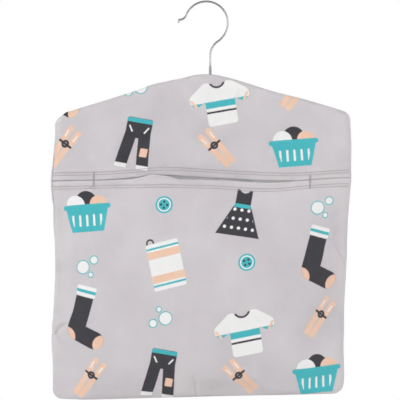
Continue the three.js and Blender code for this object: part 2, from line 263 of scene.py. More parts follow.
@dataclass(frozen=True)
class MouthGap:
    """How far the two hems stand apart, in millimetres; places along the mouth are -1 to 1."""

    least: float = 0.3
    slack: Ripple = (0.4, -0.72, 0.16)
    pinch: float = 1.5
    pinch_at: float = -0.44
    pinch_left: float = 0.10
    pinch_right: float = 0.08
    parting: float = 1.7
    parting_hump: Ripple = (0.7, -0.14, 0.14)
    parts_from: float = -0.33
    parts_over: float = 0.12
    shuts_from: float = 0.70
    shuts_over: float = 0.2

    def at(self, share: Grid) -> Grid:
        """The gap, which is below 0 where one hem laps over the other.

        Args:
            share: places along the mouth.
        Returns:
            Gaps in millimetres.
        """
        opened = smooth((share - self.parts_from) / self.parts_over)
        parted = opened * (1.0 - smooth((share - self.shuts_from) / self.shuts_over))
        reach = np.where(share < self.pinch_at, self.pinch_left, self.pinch_right)
        closed = bump(share, self.pinch_at, reach)
        wide = self.parting + rippled(share, (self.parting_hump,))
        return self.least + rippled(share, (self.slack,)) - self.pinch * closed + wide * parted


@dataclass(frozen=True)
class BagCut:
    """How the bag is cut and hangs, in millimetres: s is -1 to 1 across, t the height before the tilt."""

    crown_z: float
    stem_x: float = 4.0
    length: float = 322.5
    shoulder_width: float = 295.6
    mouth_width: float = 299.4
    base_width: float = 290.6
    waist_length: float = 75.0
    shift: float = -4.0
    lean: float = -5.0
    tilt: float = 0.0235
    shoulder_slope: float = 0.315
    crown_softness: float = 22.0
    top_ripples: tuple[Ripple, ...] = ((-1.6, 69.0, 24.0), (-0.9, 42.0, 26.0), (-0.7, -24.0, 8.0),
                                       (1.1, -54.0, 10.0), (-0.65, -108.0, 36.0))
    shoulder_corner: float = 7.0
    left_corner: float = 4.0
    chamfer: float = 11.5
    chamfer_slope: float = 0.42
    base_corner: float = 10.3
    left_base_corner: float = 10.0
    base_lift: float = 2.0
    base_lift_reach: float = 32.0
    wavers: tuple[Waver, ...] = (
        Waver(-1.0, -140.0, 26.0, 1.3), Waver(-1.0, -175.0, 11.0, -0.5), Waver(-1.0, -203.0, 12.0, 1.1),
        Waver(-1.0, -268.0, 25.0, 0.7), Waver(-1.0, -330.0, 18.0, -1.6), Waver(-1.0, -378.0, 16.0, 0.5),
        Waver(1.0, -142.0, 22.0, 1.0), Waver(1.0, -254.0, 36.0, 1.9), Waver(1.0, -332.0, 12.0, 0.4),
        Waver(1.0, -374.0, 18.0, 1.3))
    flat_y: float = 6.6
    seam_y: float = 0.3
    top_roll: float = 7.0
    end_roll: float = 6.0
    side_roll: float = 40.0
    base_roll: float = 45.0
    hanger_foot: float = 62.2
    pouch_bulge: float = 16.0
    pouch_rise: float = 110.0
    hook_hole: float = 1.9
    hole_width: float = 2.6
    hole_depth: float = 3.0
    seam_roll: float = 1.6
    seam_roll_drop: float = 4.0
    seam_roll_reach: float = 36.0
    seam_roll_start: float = 0.4
    seam_roll_fade: float = 9.0
    mouth_drop: float = 105.2
    mouth_opening: float = 216.0
    mouth_gape: float = 14.0
    mouth_gap: MouthGap = MouthGap()
    mouth_ripples: tuple[Ripple, ...] = ((4.0, -0.40, 0.18), (1.0, -0.47, 0.52), (-3.3, 0.68, 0.39))
    upper_ripples: tuple[Ripple, ...] = ((4.1, -0.32, 0.40), (-2.8, 0.80, 0.39))
    lower_ripples: tuple[Ripple, ...] = ((-0.4, 0.0, 99.0), (0.8, -0.70, 0.46), (-4.5, 0.60, 0.42))
    lip_length: float = 90.0
    lip_fold: float = 5.5
    lip_lean: Ripple = (2.4, -0.38, 0.17)
    hem_fold: float = 1.0
    fold_share: float = 0.35

    @property
    def mouth_z(self) -> float:
        """Height of the mouth."""
        return self.crown_z - self.mouth_drop

    @property
    def base_z(self) -> float:
        """Height of the bottom seam."""
        return self.crown_z - self.length

    @property
    def shoulder_z(self) -> float:
        """Height of the shoulders' outer ends."""
        return self.crown_z - float(self.crown_fall(self.shoulder_width / 2))

    def crown_fall(self, x: Grid) -> Grid:
        """How far the top edge has fallen at x."""
        return self.shoulder_slope * (np.hypot(x, self.crown_softness) - self.crown_softness)

    def fallen(self, t: Grid) -> Grid:
        """Share of the way from the shoulders to the bottom seam."""
        return np.clip((self.shoulder_z - t) / (self.shoulder_z - self.base_z), 0.0, 1.0)

    def half_width(self, t: Grid) -> Grid:
        """Half the bag's width.

        Args:
            t: heights.
        Returns:
            Half widths there.
        """
        risen = smooth((t - self.mouth_z) / (self.shoulder_z - self.mouth_z))
        above = mix(self.mouth_width, self.shoulder_width, risen)
        below = mix(self.mouth_width, self.base_width, smooth((self.mouth_z - t) / self.waist_length))
        return np.where(t > self.mouth_z, above, below) / 2

    def hang(self, s: Grid, t: Grid, y: Grid) -> Grid:
        """Places points of the cloth in space.

        Args:
            s: shares across.
            t: heights before the tilt.
            y: depths.
        Returns:
            The points, with x, y and z last.
        """
        x = self.shift + self.lean * self.fallen(t) + s * self.half_width(t)
        x = x + sum(waver.at(s, t) for waver in self.wavers)
        z = t + self.tilt * np.sqrt(self.fallen(t)) * x
        return np.stack(np.broadcast_arrays(x, y, z), axis=-1)

    def from_side(self, s: Grid, t: Grid) -> Grid:
        """Distance from the nearer side."""
        return (1.0 - np.abs(s)) * self.half_width(t)

    def corner_fall(self, d: Grid, radius: float) -> Grid:
        """Height that a round corner takes off at a distance from the side."""
        inside = np.clip(radius - d, 0.0, radius)
        return radius - np.sqrt(radius * radius - inside * inside)

    def top_x(self, s: Grid) -> Grid:
        """Place across of the top edge."""
        return self.shift + s * self.shoulder_width / 2

    def top_ripple(self, s: Grid) -> Grid:
        """How far the top edge stands above the straight shoulders, below 0 where it sags."""
        return rippled(self.top_x(s), self.top_ripples)

    def top_at(self, s: Grid) -> Grid:
        """Height of the top edge.

        Args:
            s: shares across.
        Returns:
            Heights there.
        """
        side = self.from_side(s, np.full_like(s, self.shoulder_z))
        cut_off = self.chamfer_slope * np.clip(self.chamfer - side, 0.0, None)
        left = self.corner_fall(side, self.left_corner) + cut_off
        corner = np.where(s < 0.0, left, self.corner_fall(side, self.shoulder_corner))
        return self.crown_z - (self.crown_fall(self.top_x(s)) - self.top_ripple(s)) - corner

    def base_at(self, s: Grid) -> Grid:
        """Height of the bottom edge.

        Args:
            s: shares across.
        Returns:
            Heights there.
        """
        side = self.from_side(s, np.full_like(s, self.base_z))
        lift = self.base_lift * np.clip(1.0 - side / self.base_lift_reach, 0.0, None)
        left = self.corner_fall(side, self.left_base_corner) + lift
        return self.base_z + np.where(s < 0.0, left, self.corner_fall(side, self.base_corner))

    def mouth_share(self, s: Grid) -> Grid:
        """Place along the mouth, -1 and 1 at the bar tacks."""
        return s * self.mouth_width / self.mouth_opening

    def mouth_bow(self, s: Grid) -> Grid:
        """1 in the middle of the mouth, 0 at the bar tacks and past them."""
        share = np.clip(np.abs(self.mouth_share(s)), 0.0, 1.0)
        return (1.0 - share * share) ** 2

    def mouth_line(self, s: Grid, ripples: tuple[Ripple, ...]) -> Grid:
        """Height of a line along the mouth, pushed up or sagging by each ripple."""
        return self.mouth_z + rippled(self.mouth_share(s), ripples)

    def fold_at(self, s: Grid) -> Grid:
        """Radius of the hems' folds, smaller where the bag is thin."""
        rolled = self.side_roll_at(s, np.full_like(s, self.mouth_z))
        return np.minimum(self.hem_fold, self.fold_share * mix(self.seam_y, self.flat_y, rolled))

    def half_gap(self, s: Grid) -> Grid:
        """Half of how far the hems stand apart."""
        return self.mouth_gap.at(self.mouth_share(s)) / 2

    def upper_edge(self, s: Grid) -> Grid:
        """Height where the upper hem's fold begins."""
        return self.mouth_line(s, self.mouth_ripples) + self.half_gap(s) + self.fold_at(s)

    def lower_edge(self, s: Grid) -> Grid:
        """Height where the lower hem's fold begins."""
        return self.mouth_line(s, self.mouth_ripples) - self.half_gap(s) - self.fold_at(s)

    def upper_creep(self, s: Grid) -> Grid:
        """How far the upper hem's fold has crept down from its stitching."""
        return self.mouth_line(s, self.upper_ripples) - self.upper_edge(s)

    def lower_creep(self, s: Grid) -> Grid:
        """How far the lower hem's fold has crept up from its stitching."""
        return self.lower_edge(s) - self.mouth_line(s, self.lower_ripples)

    def lip_leant(self, s: Grid, t: Grid) -> Grid:
        """How far the lower hem's fold leans back where it is pushed up."""
        fold = np.clip(1.0 - (self.lower_edge(s) - t) / self.lip_fold, 0.0, 1.0)
        return rippled(self.mouth_share(s), (self.lip_lean,)) * fold * fold

    def seam_turn(self, s: Grid, t: Grid) -> Grid:
        """How far the left seam has rolled round to the front, where the hems make it stiff."""
        return self.seam_roll * bump(t, self.mouth_z - self.seam_roll_drop, self.seam_roll_reach) * (s < 0.0)

    def side_roll_at(self, s: Grid, t: Grid) -> Grid:
        """How far the cloth has rolled out from the side seam to the flat.

        Args:
            s: shares across.
            t: heights.
        Returns:
            Shares, 0 at the seam and 1 on the flat.
        """
        foot = self.crown_z - self.hanger_foot
        length = mix(self.end_roll, self.side_roll, smooth((foot - t) / self.side_roll))
        return roll(self.from_side(s, t), length)

    def hole_at(self, s: Grid, t: Grid) -> Grid:
        """How far the top edge opens for the hook's shank."""
        depth = bump(self.top_at(s) - t, 0.0, self.hole_depth)
        return self.hook_hole * bump(self.top_x(s), self.stem_x, self.hole_width) * depth

    def front_seam(self, s: Grid, t: Grid, places: Grid) -> Grid:
        """Draws the front's side edges in where the seam has rolled round.

        Args:
            s: shares across.
            t: heights.
            places: the front's points.
        Returns:
            The points, moved.
        """
        turn = self.seam_turn(s, t) * (1.0 - smooth(self.from_side(s, t) / self.seam_roll_fade))
        return places + np.stack([turn, -turn, np.zeros_like(turn)], axis=-1)

    def upper_front(self, s: Grid, t: Grid) -> Grid:
        """Outside of the front above the mouth."""
        full = (self.flat_y - self.seam_y) * self.side_roll_at(s, t) * roll(self.top_at(s) - t, self.top_roll)
        return self.front_seam(s, t, self.hang(s, t, -(self.seam_y + full + self.hole_at(s, t))))

    def lower_front(self, s: Grid, t: Grid) -> Grid:
        """Outside of the front below the mouth.

        Args:
            s: shares across.
            t: heights.
        Returns:
            Points of the cloth.
        """
        height = t - self.base_at(s)
        flat = (self.flat_y - self.seam_y) * self.side_roll_at(s, t) * roll(height, self.base_roll)
        pouch = self.pouch_bulge * (1.0 - s * s) * roll(height, self.pouch_rise)
        bulge = mix(self.mouth_gape * self.mouth_bow(s), pouch, smooth((self.mouth_z - t) / self.lip_length))
        return self.front_seam(s, t, self.hang(s, t, self.lip_leant(s, t) - (self.seam_y + flat + bulge)))

    def back(self, s: Grid, t: Grid) -> Grid:
        """Outside of the back, whose left edge rolls round to the front beside the mouth.

        Args:
            s: shares across.
            t: heights.
        Returns:
            Points of the cloth.
        """
        ends = roll(self.top_at(s) - t, self.top_roll) * roll(t - self.base_at(s), self.base_roll)
        full = (self.flat_y - self.seam_y) * self.side_roll_at(s, t) * ends
        places = self.hang(s, t, self.seam_y + full + self.hole_at(s, t))
        turn = np.maximum(self.seam_turn(s, t), 1e-6)
        d = self.from_side(s, t)
        angle = np.minimum(d / turn, math.pi)
        rolled = np.stack([turn * (1.0 - np.sin(angle)), -turn * np.cos(angle), np.zeros_like(d)], axis=-1)
        plain = np.stack([d, places[..., 1], np.zeros_like(d)], axis=-1)
        fade = 1.0 - smooth((d - math.pi * turn) / self.seam_roll_fade)
        share = fade * smooth(self.seam_turn(s, t) / self.seam_roll_start)
        return places + (rolled - plain) * share[..., None]


# Settings of the cloth simulation for a light, firm cotton.
COTTON_CLOTH = {"quality": 10, "mass": 0.001, "tension_stiffness": 60.0, "compression_stiffness": 60.0,
                "shear_stiffness": 12.0, "bending_stiffness": 0.6, "air_damping": 3.0, "pin_stiffness": 1.0}


@dataclass(frozen=True)
class Drape:
    """Cloth simulation of one panel, pinned along its seams, and how far it may move."""

    across: int = 60
    rows: int = 44
    frames: int = 36
    growth: float = 0.010
    outward_pull: float = 1.2
    gravity: float = 9.81
    most_mm: float = 5.0
    hem_hold: float = 0.6
    tack_share: float = 0.97
    top_hold: float = 0.9
    top_held_mm: float = 20.0
    top_freed_mm: float = 25.0

    def run(self, name: str, places: Grid, pins: Grid, outward: float) -> Grid:
        """Lets a panel settle under its weight.

        Args:
            name: the panel's name.
            places: a grid of points in millimetres.
            pins: how firmly each point is held, 0 to 1.
            outward: the panel's outward direction along Y.
        Returns:
            How far each point moved, in millimetres.
        """
        rows, columns = pins.shape
        made = mesh_object(f"{name}_drape", places.reshape(-1, 3), grid_faces(rows, columns), [])
        group = made.vertex_groups.new(name="pins")
        for number, weight in enumerate(pins.ravel()):
            group.add([number], float(weight), "REPLACE")
        cloth = made.modifiers.new("drape", "CLOTH")
        for key, value in COTTON_CLOTH.items():
            setattr(cloth.settings, key, value)
        cloth.settings.vertex_group_mass = group.name
        cloth.settings.shrink_min = -self.growth
        cloth.collision_settings.use_collision = False
        cloth.point_cache.frame_start = 1
        cloth.point_cache.frame_end = self.frames
        scene = bpy.context.scene
        scene.gravity = (0.0, outward * self.outward_pull, -self.gravity)
        for number in range(1, self.frames + 1):
            scene.frame_set(number)
        settled = made.evaluated_get(bpy.context.evaluated_depsgraph_get()).to_mesh()
        flat = np.empty(rows * columns * 3, dtype=np.float32)
        settled.vertices.foreach_get("co", flat)
        moved = flat.reshape(rows, columns, 3) / MM - places
        bpy.data.objects.remove(made)
        scene.frame_set(1)
        far = np.linalg.norm(moved, axis=-1, keepdims=True)
        LOG.info("%s drape: moves %.2f mm at most, %.2f mm on average", name, far.max(), far.mean())
        return moved * np.minimum(1.0, self.most_mm / np.maximum(far, 1e-6))


def grid_faces(rows: int, columns: int, start: int = 0, turned: bool = False) -> list:
    """Faces of a grid of points.

    Args:
        rows: how many rows it has.
        columns: how many points a row has.
        start: number of its first point.
        turned: whether the faces look the other way.
    Returns:
        Four point numbers for each face.
    """
    numbers = start + np.arange(rows * columns).reshape(rows, columns)
    corners = [numbers[:-1, :-1], numbers[:-1, 1:], numbers[1:, 1:], numbers[1:, :-1]]
    if turned:
        corners.reverse()
    return np.stack([c.ravel() for c in corners], axis=-1).tolist()


def slab_faces(rows: int, columns: int, turned: bool = False) -> list:
    """Faces of two grids of points, one behind the other, closed round their rim.

    Args:
        rows: how many rows each grid has.
        columns: how many points a row has.
        turned: whether all the faces look the other way.
    Returns:
        The first grid's faces, then the second's, then the rim's.
    """
    count = rows * columns
    numbers = np.arange(count).reshape(rows, columns)
    ring = np.concatenate([numbers[0, :-1], numbers[:-1, -1], numbers[-1, :0:-1], numbers[:0:-1, 0]])
    following = np.roll(ring, -1)
    rim = np.stack([following, ring, ring + count, following + count], axis=-1)
    if turned:
        rim = rim[:, ::-1]
    sides = grid_faces(rows, columns, 0, turned) + grid_faces(rows, columns, count, not turned)
    return sides + rim.tolist()


def spline_weights(f: Grid) -> list[Grid]:
    """Weights of the four points round a place, f of the way from the second to the third."""
    return [(1 - f) ** 3 / 6, (3 * f ** 3 - 6 * f ** 2 + 4) / 6,
            (-3 * f ** 3 + 3 * f ** 2 + 3 * f + 1) / 6, f ** 3 / 6]


def cubic_sample(values: Grid, across: Grid, up: Grid) -> Grid:
    """Reads a grid of values between its points, smoothly.

    Args:
        values: rows by columns by coordinates.
        across: shares of the width, 0 to 1.
        up: shares of the height, 0 to 1.
    Returns:
        The values there.
    """
    rows, columns = values.shape[:2]
    x, y = across * (columns - 1), up * (rows - 1)
    i, j = np.floor(y).astype(int), np.floor(x).astype(int)
    total = 0.0
    for a, row_weight in enumerate(spline_weights(y - i)):
        for b, column_weight in enumerate(spline_weights(x - j)):
            row = np.clip(i + a - 1, 0, rows - 1)
            column = np.clip(j + b - 1, 0, columns - 1)
            total = total + values[row, column] * (row_weight * column_weight)[..., None]
    return total


def grid_normals(places: Grid) -> Grid:
    """Unit normals of a grid of points, along columns crossed with rows."""
    normals = np.cross(np.gradient(places, axis=1), np.gradient(places, axis=0))
    return normals / np.maximum(np.linalg.norm(normals, axis=-1, keepdims=True), 1e-9)


class Side(Enum):
    """Which way a panel looks."""

    FRONT = -1.0
    BACK = 1.0


class Hem(Enum):
    """Which edge of a panel is turned under."""

    NONE = 0
    LOW = 1
    HIGH = 2


@dataclass(frozen=True)
class SewnRelief:
    """What sewing does to the cloth's surface, in millimetres; a pucker is its height and its reach."""

    along: tuple[Wave, ...] = ((0.5, 1.9, 0.0), (0.3, 3.1, 1.0), (0.35, 7.3, 0.0))
    upright: tuple[Wave, ...] = ((0.5, 2.1, 0.0), (0.3, 3.4, 2.0), (0.4, 8.0, 0.5))
    side_pucker: tuple[float, float] = (0.32, 6.0)
    top_pucker: tuple[float, float] = (0.22, 5.0)
    foot_pucker: tuple[float, float] = (0.32, 6.0)
    seam_edge: float = 1.2
    groove_depth: float = 0.32
    groove_width: float = 0.6
    hem_pucker: Ripple = (0.10, 6.6, 3.0)
    hem_swell: float = 0.22
    swell_start: float = 1.5
    swell_end: float = 3.5
    swell_fade: float = 3.0
    fold_mark: Ripple = (0.55, -0.365, 0.012)
    fold_mark_reach: float = 6.0
    fold_mark_fade: float = 3.0

    def pucker(self, wave: Grid, far: Grid, size: tuple[float, float]) -> Grid:
        """Puckers that die away from a seam.

        Args:
            wave: their wave along the seam.
            far: distances from the seam.
            size: their height and their reach.
        Returns:
            Heights, outwards.
        """
        height, reach = size
        return height * wave * np.exp(-far / reach) * smooth(far / self.seam_edge)

    def hem(self, inset: Grid, wave: Grid, rows: tuple[float, float]) -> Grid:
        """A hem's swollen fold, with grooves under its stitches.

        Args:
            inset: distances from the hem's fold.
            wave: the puckers' wave along it.
            rows: the stitch rows' distances from the fold.
        Returns:
            Heights, outwards.
        """
        swell = smooth(inset / self.swell_start) * (1.0 - smooth((inset - self.swell_end) / self.swell_fade))
        height = self.hem_swell * swell + wave * rippled(inset, (self.hem_pucker,))
        return height - rippled(inset, tuple((self.groove_depth, row, self.groove_width) for row in rows))


# Steps of the points beside a rolled edge and in a hem, as distances from the edge in millimetres.
EDGE_STEPS = np.cumsum([0.0, 0.3, 0.4, 0.5, 0.7, 0.9, 1.1, 1.3, 1.5, 1.7])
HEM_STEPS = np.concatenate([[0.0, 0.4, 0.9, 1.5, 2.2], np.arange(2.8, 11.6, 0.35), [12.2, 13.2, 14.6]])


@dataclass
class Panel:
    """One panel of cloth: draped, then woven to a fine grid with its hem, grooves and puckered seams."""

    name: str
    node: str
    cut: BagCut
    surface: Surface
    low: Edge
    high: Edge
    side: Side
    hem: Hem
    drape: Drape
    pattern_shift: tuple[float, float]
    hem_creep: Edge = np.zeros_like
    creases: tuple[Crease, ...] = ()
    cell: float = 1.5
    cloth: float = 0.55
    allowance: float = 5.0
    hem_width: float = 9.6
    stitch_insets: tuple[float, float] = (5.4, 7.9)
    sewn: SewnRelief = SewnRelief()
    fold_angles: int = 8
    turning_shares: tuple[float, ...] = (0.15, 0.35, 0.55, 0.75, 1.0)
    flat_samples: int = 201
    line_step: float = 0.4
    moved: Grid | None = field(default=None, repr=False)

    def settle(self) -> None:
        """Runs the drape on an even grid of the panel, held firmly over the hanger and loosely at its hem."""
        drape = self.drape
        share = np.linspace(-1.0, 1.0, drape.across)
        s, v = np.meshgrid(share, np.linspace(0.0, 1.0, drape.rows))
        t = mix(self.low(s), self.high(s), v)
        places = self.surface(s, t)
        self.moved = np.zeros_like(places)
        pins = np.zeros_like(s)
        pins[[0, -1]] = 1.0
        pins[:, [0, -1]] = 1.0
        if self.hem is not Hem.HIGH:
            freed = smooth((self.cut.top_at(s) - t - drape.top_held_mm) / drape.top_freed_mm)
            pins = np.maximum(pins, drape.top_hold * (1.0 - freed))
        if self.hem is not Hem.NONE:
            tacked = np.abs(self.cut.mouth_share(share)) > drape.tack_share
            pins[0 if self.hem is Hem.LOW else -1] = np.where(tacked, 1.0, drape.hem_hold)
        self.moved = drape.run(self.name, places, pins, self.side.value)

    def flat_size(self) -> tuple[float, float, float]:
        """The panel's flat cut with its allowances and its hem's turning.

        Returns:
            Its width and length in metres and its area in square metres.
        """
        share = np.linspace(-1.0, 1.0, self.flat_samples)
        turning = 2.0 * self.allowance
        if self.hem is not Hem.NONE:
            turning = self.allowance + self.hem_width + math.pi * self.cut.hem_fold
        lengths = self.high(share) - self.low(share) + turning
        width = self.cut.mouth_width + 2.0 * self.allowance
        return width * MM, float(lengths.max()) * MM, float(lengths.mean()) * width * MM * MM

    def spaced(self, size: float, start: Grid, end: Grid) -> Grid:
        """Distances across a stretch of cloth, close together at both ends.

        Args:
            size: the stretch's length.
            start: distances from its start.
            end: distances from its end.
        Returns:
            Distances from its start, one cell apart in the middle.
        """
        inner = size - end[-1]
        middle = np.linspace(start[-1], inner, round((inner - start[-1]) / self.cell) + 1)
        return np.concatenate([start[:-1], middle, size - end[-2::-1]])

    def columns(self) -> Grid:
        """Shares across, close together at the sides."""
        half = self.cut.shoulder_width / 2
        return (self.spaced(2 * half, EDGE_STEPS, EDGE_STEPS) - half) / half

    def rows(self) -> Grid:
        """Shares of the height, close together at a rolled edge and closer in a hem.

        Returns:
            The shares, from the low edge to the high one.
        """
        middle = np.zeros(1)
        height = float(self.high(middle)[0]) - float(self.low(middle)[0])
        start = HEM_STEPS if self.hem is Hem.LOW else EDGE_STEPS
        end = HEM_STEPS if self.hem is Hem.HIGH else EDGE_STEPS
        return self.spaced(height, start, end) / height

    def fine(self, s: Grid, v: Grid) -> Grid:
        """Outside of the draped panel, with its grooves and puckers.

        Args:
            s: shares across.
            v: shares of the height.
        Returns:
            The points, in millimetres.
        """
        low, high = self.low(s), self.high(s)
        t = low + (high - low) * v
        places = self.surface(s, t) + cubic_sample(self.moved, (s + 1.0) / 2.0, v)
        return places + self.outward(places) * self.relief(s, t, low, high)[..., None]

    def outward(self, places: Grid) -> Grid:
        """Unit normals of a grid of the panel's points, out of the bag."""
        return grid_normals(places) * -self.side.value

    def line(self, share: Grid, inset: float | Grid) -> tuple[Grid, Grid]:
        """A line on the cloth along its hem.

        Args:
            share: shares across.
            inset: distance from the hem's fold, in millimetres.
        Returns:
            Points and unit normals.
        """
        beside = np.array([-self.line_step, 0.0, self.line_step])
        around = np.broadcast_to(inset, share.shape) + beside[:, None]
        s = np.broadcast_to(share, (3, len(share)))
        height = self.high(s) - self.low(s)
        v = around / height if self.hem is Hem.LOW else 1.0 - around[::-1] / height
        places = self.fine(s, v)
        return places[1], self.outward(places)[1]

    def relief(self, s: Grid, t: Grid, low: Grid, high: Grid) -> Grid:
        """Height of the sewing's grooves, the puckers and the creases over the cloth.

        Args:
            s: shares across.
            t: heights.
            low: the panel's low edge.
            high: its high edge.
        Returns:
            Heights in millimetres, outwards.
        """
        sewn = self.sewn
        along = waved(s * self.cut.shoulder_width / 2, sewn.along)
        height = sewn.pucker(waved(t, sewn.upright), self.cut.from_side(s, t), sewn.side_pucker)
        if self.hem is not Hem.HIGH:
            height = height + sewn.pucker(along, high - t, sewn.top_pucker)
        if self.hem is not Hem.LOW:
            height = height + sewn.pucker(along, t - low, sewn.foot_pucker)
        if self.hem is not Hem.NONE:
            inset = (t - low if self.hem is Hem.LOW else high - t) - self.hem_creep(s)
            height = height + sewn.hem(inset, along, self.stitch_insets)
        if self.hem is Hem.LOW:
            fade = 1.0 - smooth((t - low - sewn.fold_mark_reach) / sewn.fold_mark_fade)
            height = height - rippled(self.cut.mouth_share(s), (sewn.fold_mark,)) * fade
        places = self.cut.hang(s, t, np.zeros_like(t))
        return height + sum(crease.height(places) for crease in self.creases)

    def build(self, printed: bpy.types.Material, reverse: bpy.types.Material) -> bpy.types.Object:
        """Makes the panel's mesh with its hem wrapped round and its thickness.

        Args:
            printed: the cloth's right side.
            reverse: its wrong side.
        Returns:
            The panel's object.
        """
        self.settle()
        share = self.columns()
        s, v = np.meshgrid(share, self.rows())
        outer = self.fine(s, v)
        low, high = self.low(s), self.high(s)
        pattern = np.stack([s * self.cut.shoulder_width / 2, low + (high - low) * v], axis=-1)
        pattern = pattern + np.asarray(self.pattern_shift)
        if self.hem is not Hem.NONE:
            outer, pattern = self.turned_hem(share, outer, pattern)
        inner = outer - self.outward(outer) * self.cloth
        rows, columns = outer.shape[:2]
        faces = slab_faces(rows, columns, self.side is Side.BACK)
        outside = (rows - 1) * (columns - 1)
        slots = [0] * outside + [1] * (len(faces) - outside)
        places = np.concatenate([outer.reshape(-1, 3), inner.reshape(-1, 3)])
        flat = np.concatenate([pattern.reshape(-1, 2)] * 2)
        made = mesh_object(self.name, places, faces, [printed, reverse], slots, flat)
        return enter(made, Body.BAG, self.node)

    def turned_hem(self, share: Grid, outer: Grid, pattern: Grid) -> tuple[Grid, Grid]:
        """Wraps the hem's turning round its fold and lays it behind the panel.

        Args:
            share: shares across.
            outer: the panel's outside, a grid of points.
            pattern: each point's place on the flat cloth.
        Returns:
            Both with rows added for the turning.
        """
        row, step = (0, 1) if self.hem is Hem.LOW else (-1, -1)
        edge, normal = outer[row], self.outward(outer)[row + 2 * step]
        out = edge - outer[row + 3 * step]
        out = out / np.linalg.norm(out, axis=-1, keepdims=True)
        fold = self.cut.fold_at(share)[:, None]
        wraps, laid = [], []
        for angle in np.linspace(0.0, math.pi, self.fold_angles)[1:]:
            wraps.append(edge - normal * fold * (1.0 - math.cos(angle)) + out * fold * math.sin(angle))
            laid.append(pattern[row] - [0.0, step * self.cut.hem_fold * angle])
        for part in self.turning_shares:
            places, facing = self.line(share, part * (self.hem_width + self.hem_creep(share)))
            wraps.append(places - facing * 2.0 * fold)
            far = self.cut.hem_fold * math.pi + part * self.hem_width
            laid.append(pattern[row] - [0.0, step * far])
        if self.hem is Hem.LOW:
            return np.concatenate([wraps[::-1], outer]), np.concatenate([laid[::-1], pattern])
        return np.concatenate([outer, wraps]), np.concatenate([pattern, laid])


@dataclass(frozen=True)
class StitchSizes:
    """Sizes of one kind of stitch, in millimetres and degrees."""

    pitch: float
    length: float
    thread: float
    bow: float
    turn: float = 0.0
    zigzag: float = 0.0

    def inputs(self) -> dict[str, float]:
        """The stitch tree's inputs, in metres and radians.

        Returns:
            A value for each input's name.
        """
        lengths = {"Pitch": self.pitch, "Length": self.length, "Thread": self.thread, "Bow": self.bow}
        angles = {"Turn": math.radians(self.turn), "Zigzag": math.radians(self.zigzag)}
        return {name: size * MM for name, size in lengths.items()} | angles


